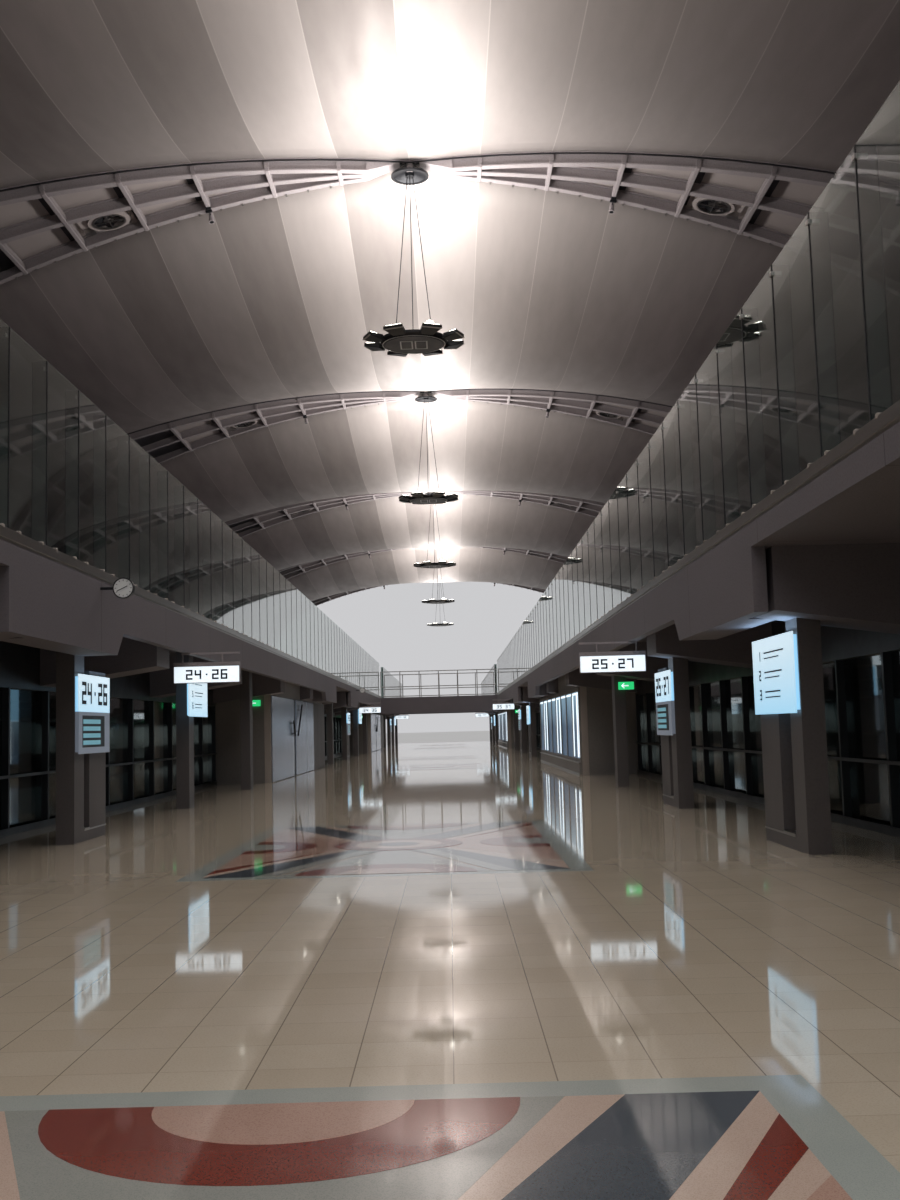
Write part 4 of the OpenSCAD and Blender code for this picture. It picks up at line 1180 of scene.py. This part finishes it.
# %% Exit signs: a green lit panel with a plain arrow
# On the right, the one before a block hangs about a column's step earlier.
BLOCKS = [(well - 2.22, well - 0.39) for well in WELLS]
panels, arrows = new_meshes(2)
for start, end in BLOCKS:
    for side in (-1, 1):
        for y, facing in ((start, -1), (end, 1)):
            x = side * 0.562
            if side > 0 and facing < 0:
                x, y = 0.540, start - 0.886
            face = y + facing * 0.006
            add_side_box(panels, 1, (x - 0.020, x + 0.020), (y, face), (0.252, 0.272))
            front = shift(x, face, FLOOR + 0.262) @ turned(0 if facing < 0 else math.pi, "Z")
            add_block(arrows, front, (-0.011, -0.0004, -0.0015), (0.006, 0, 0.0015))
            for turn in (-1, 1):
                tip = front @ shift(-0.0115, 0, 0) @ turned(turn * math.pi / 4, "Y")
                add_block(arrows, tip, (0, -0.0004, -0.0013), (0.009, 0, 0.0013))
piece("exit_panels", panels, lit_green)
piece("exit_arrows", arrows, lit_white)

# %% [markdown]
# ## Service blocks
# On one side a block's face is sheet steel in two leaves with long pulls. On the other it
# holds a row of lit display windows over a pale plinth. A pale trim finishes each corner.

# %% Steel leaves, pulls and corner trims
LEAVES, SHEETS, FACE_Z = ((0.012, 0.618), (0.676, 1.320)), 4, (0.002, 0.285)
PULLS, PULL_X = ((0.680, 0.820, 0.150, 0.267), (0.590, 0.540, 0.152, 0.205)), -0.4985
leaves, pulls, trims, shade_blanks = new_meshes(4)
for start, end in BLOCKS:
    for low, high in LEAVES:
        sheet = (high - low) / SHEETS
        for k in range(SHEETS):
            y = start + low + k * sheet
            add_side_box(leaves, -1, (0.5060, 0.5100), (y + 0.0006, y + sheet - 0.0006), FACE_Z)
    gap = start + LEAVES[0][1], start + LEAVES[1][0]
    add_side_box(pulls, -1, (0.5085, 0.5100), gap, FACE_Z)
    for foot, head, low, high in PULLS:
        lower = Vector((PULL_X, start + foot, FLOOR + low))
        upper = Vector((PULL_X, start + head, FLOOR + high))
        add_rod(pulls, lower, upper, 0.0032)
        for share in (0.15, 0.85):
            held = lower.lerp(upper, share)
            add_rod(pulls, held - Vector((0.008, 0, 0)), held, 0.0018, 8)
    for at in (0.026, 1.298):
        add_side_box(pulls, -1, (0.5052, 0.5065), (start + at, start + at + 0.008), (0.234, 0.246))
    # Three dark panels fill the face past the leaves; their dark paint is painted shade, for the
    # recess in shadow there.
    for k in range(3):
        y = start + 1.327 + k * 0.164
        add_side_box(shade_blanks, -1, (0.5070, 0.5100), (y, y + 0.162), FACE_Z)
    for side in (-1, 1):
        for y, facing in ((start, -1), (end, 1)):
            add_side_box(trims, side, (0.5085, 0.5300), (y, y + facing * 0.0022), (0, 0.293))
soften(leaves, 0.0005, 1)
soften(shade_blanks, 0.0005, 1)
piece("steel_leaves", leaves, steel_sheet, replaces=("steel_panels",))
piece("blank_panels_painted_shade", shade_blanks, column_paint)
piece("leaf_pulls", pulls, dark_metal)
piece("corner_trims", trims, pale_trim)

# %% [markdown]
# ## Display windows
# The fronts of the right blocks are shallow windows with bright tubes before a blue glow.
# The glow grows paler upwards in its material. The tubes are boxes with a stronger glow,
# which keeps them crisp from far away.

# %% Lit display windows
# Every third window has three broad upright tubes, the others have one slim tube.
WINDOWS, WINDOW_Z, TUBE_X = 8, (0.052, 0.273), (0.5036, 0.5049)
glows, tubes, frames = new_meshes(3)
for start, end in BLOCKS:
    wide = (end - start - 0.012) / WINDOWS
    for k in range(WINDOWS):
        y0, y1 = start + 0.012 + k * wide, start + (k + 1) * wide
        add_side_box(glows, 1, (0.5048, 0.5060), (y0, y1), WINDOW_Z)
        add_side_box(frames, 1, (0.5005, 0.5030), (y1 + 0.0045, y1 + 0.0075), WINDOW_Z)
        add_side_box(tubes, 1, TUBE_X, (y0 + 0.004, y1 - 0.004), (0.264, 0.270))
        broad = k % 3 == 0
        for at in (y0 + 0.010, y0 + 0.062, y1 - 0.016) if broad else (y0 + 0.010,):
            tube = at, at + (0.022 if broad else 0.014)
            add_side_box(tubes, 1, TUBE_X, tube, (0.056, 0.262))
    add_side_box(frames, 1, (0.4955, 0.5020), (start, end), (0.0375, 0.0415))
    add_side_box(frames, 1, (0.4970, 0.4985), (start + 0.004, end - 0.004), (0, 0.006))
piece("display_faces", glows, lit_picture)
piece("display_tubes", tubes, lit_tube)
piece("display_trims", frames, brushed_metal)

# %% [markdown]
# ## Ceiling lights and lounge rails
# Lights lie in two rows in each ceiling under the decks. A rail and a skirting run along
# the glazed fronts of the gate areas. The lights follow the column spacing, so the middles
# between columns are worked out once, here, and used again for the windows.

# %% Ceiling lights under the decks and rails on the lounge walls
# Columns stand three to a bay. The lounges fill the lengths that the blocks leave free.
MIDS = [ARCHES[0] + (k + 0.5) * BAY / 3 for k in range(18)]
LOUNGES = zip((-END, *(end for _, end in BLOCKS)), (*(start for start, _ in BLOCKS), END))
LOUNGE_X = 0.6865, 0.6900
strips, rails = new_meshes(2)
for side in (-1, 1):
    for y in MIDS:
        for x in (0.95, 1.45):
            across, along = (x - 0.008, x + 0.008), (y - 0.40, y - 0.26)
            add_side_box(strips, side, across, along, (0.3685, 0.3722))
for ends in LOUNGES:
    for side in (-1, 1):
        add_side_box(rails, side, LOUNGE_X, ends, (0.098, 0.103))
        add_side_box(rails, side, LOUNGE_X, ends, (0, 0.012))
piece("ceiling_lights", strips, lit_white)
piece("lounge_rails", rails, dark_metal)

# %% [markdown]
# ## Outside
# The photo doesn't show the outside, so it is plain: window bars and sills, repeated
# from the column spacing inside.

# %% Window bars and sills
OUT, BARS, BAR_STEP = cad_high.x, 5, 0.1585
BAR_X, SILL_X = (OUT - 0.018, OUT - 0.012), (OUT - 0.030, OUT - 0.0002)
bars, sills = new_meshes(2)
for side in (-1, 1):
    for y in MIDS:
        ends = y - 0.3195, y + 0.3195
        for n in range(BARS):
            at = y + (n - BARS // 2) * BAR_STEP
            add_side_box(bars, side, BAR_X, (at - 0.0035, at + 0.0035), (0.0905, 0.2495))
        for z in (0.0925, 0.190, 0.2475):
            add_side_box(bars, side, BAR_X, ends, (z - 0.0025, z + 0.0025))
        add_side_box(sills, side, SILL_X, ends, (0.0902, 0.0925))
piece("window_bars", bars, dark_metal)
piece("window_sills", sills, brushed_metal)

# %% [markdown]
# ## Floor inlay
# Two carpets of coloured stone lie on the floor at each light well. The pattern is a
# plain one of its own: crossed bands, half rounds and a round in the middle. Each field
# stands a hair higher than those it crosses, so no two crossing faces lie in one plane.

# %% Floor inlay
HALF_X, HALF_Y, EDGE = 0.237, 0.405, 0.025
BURIED, LIFT = 0.0010, 0.00006
inlay = {stone: bmesh.new() for stone in STONES}


def add_field(stone, mid, level, points):
    """Adds a thin flat shape to one stone of the inlay; levels stack the shapes."""
    bm = inlay[stone]
    face = bm.faces.new([bm.verts.new((x, mid + y, FLOOR - BURIED)) for x, y in points])
    grown = bmesh.ops.extrude_face_region(bm, geom=[face])["geom"]
    moved = [g for g in grown if isinstance(g, bmesh.types.BMVert)]
    bmesh.ops.translate(bm, vec=(0, 0, BURIED + LIFT * level), verts=moved)


def oblong(half_x, half_y):
    """The corners of a rectangle about the carpet's middle."""
    return [(-half_x, -half_y), (half_x, -half_y), (half_x, half_y), (-half_x, half_y)]


def arc(x, y, radius, start, end, steps=28):
    """Points on part of a circle, angles in degrees."""
    angles = [math.radians(start + (end - start) * k / steps) for k in range(steps + 1)]
    return [(x + radius * math.cos(a), y + radius * math.sin(a)) for a in angles]


def carpet():
    """The fields of one carpet about its middle: stone, level and outline."""
    x, y = HALF_X - EDGE, HALF_Y - EDGE
    yield "border", 1, oblong(HALF_X, HALF_Y)
    yield "cream", 2, oblong(x, y)
    for up in (-1, 1):
        band, inner = up * (x - 0.060), up * (x - 0.085)
        yield "grey", 3, [(-0.125, up * y), (0.125, up * y), (0, up * 0.060)]
        yield "salmon", 3, [(up * x, -0.270), (up * x, 0.270), (up * 0.035, 0)]
        yield "blue", 4, [(up * x, -y), (band, -y), (-up * x, y), (-band, y)]
        yield "grey", 5, [(band, -y), (inner, -y), (up * 0.004, -0.030), (up * 0.020, -0.010)]
        yield "red", 5, [(up * x, up * 0.300), (up * x, up * 0.345),
                         (up * 0.110, up * 0.120), (up * 0.095, up * 0.085)]
        yield "red", 5, arc(0, up * y, 0.105, 0, -up * 180)
        yield "salmon", 6, arc(0, up * y, 0.058, 0, -up * 180)
        yield "red", 5, arc(up * x, 0, 0.095, 90, 90 + up * 180)
        yield "grey", 6, arc(up * x, 0, 0.050, 90, 90 + up * 180)
    yield "red", 7, arc(0, 0, 0.092, 0, 350, 40)
    yield "cream", 8, arc(0, 0, 0.062, 0, 350, 40)
    yield "blue", 9, arc(0, 0, 0.030, 0, 350, 30)


for well in WELLS:
    for turn in (-1, 1):
        for stone, level, points in carpet():
            add_field(stone, well - 0.05 + turn * 0.84, level, points)
for stone, bm in inlay.items():
    piece(f"inlay_{stone}", bm, STONES[stone])

# %% [markdown]
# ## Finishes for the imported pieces
# The pieces whose shapes are already right keep them and get their finish here.

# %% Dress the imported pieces
finishes = {
    "floor_slab": stone_floor, "deck_left": concrete, "deck_right": concrete,
    "edge_face_left": concrete, "edge_face_right": concrete, "deck_beams": concrete,
    "columns": column_paint, "outer_wall_left": wall_paint, "outer_wall_right": wall_paint,
    "outer_glass": tinted_glass, "service_walls": wall_paint, "gate_piers": column_paint,
    "display_windows": wall_paint, "lounge_frames": dark_metal, "lounge_glass": fin_glass,
    "screen_shoes": brushed_metal, "screen_panes": screen_glass, "screen_fins": fin_glass,
    "cross_bridge": concrete, "bridge_railings": brushed_metal, "crown_pins": dark_metal,
    "roof_kerbs": truss_paint, "roof_lights": panel_infill, "lamp_discs": dark_metal,
    "lamp_stays": dark_metal,
}
finishes.update({f"arch_{k}": truss_paint for k in range(1, 8)})
for name, material in finishes.items():
    packed = nodes[name].data
    packed.materials.clear()
    packed.materials.append(material)
print("dressed", len(finishes), "pieces")

# %% [markdown]
# ## Sizes and finish
# The last cell gives the ground its finish and writes the model's box before and after
# dressing, to compare sizes.

# %% Write the sizes and finish
ground_mesh.materials.append(finish("pale_ground", 0.9, colour=srgb(222, 221, 218))[0])
low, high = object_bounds()
print("cad", [round(v, 4) for v in (*cad_low, *cad_high)],
      "visual", [round(v, 4) for v in (*low, *high)])
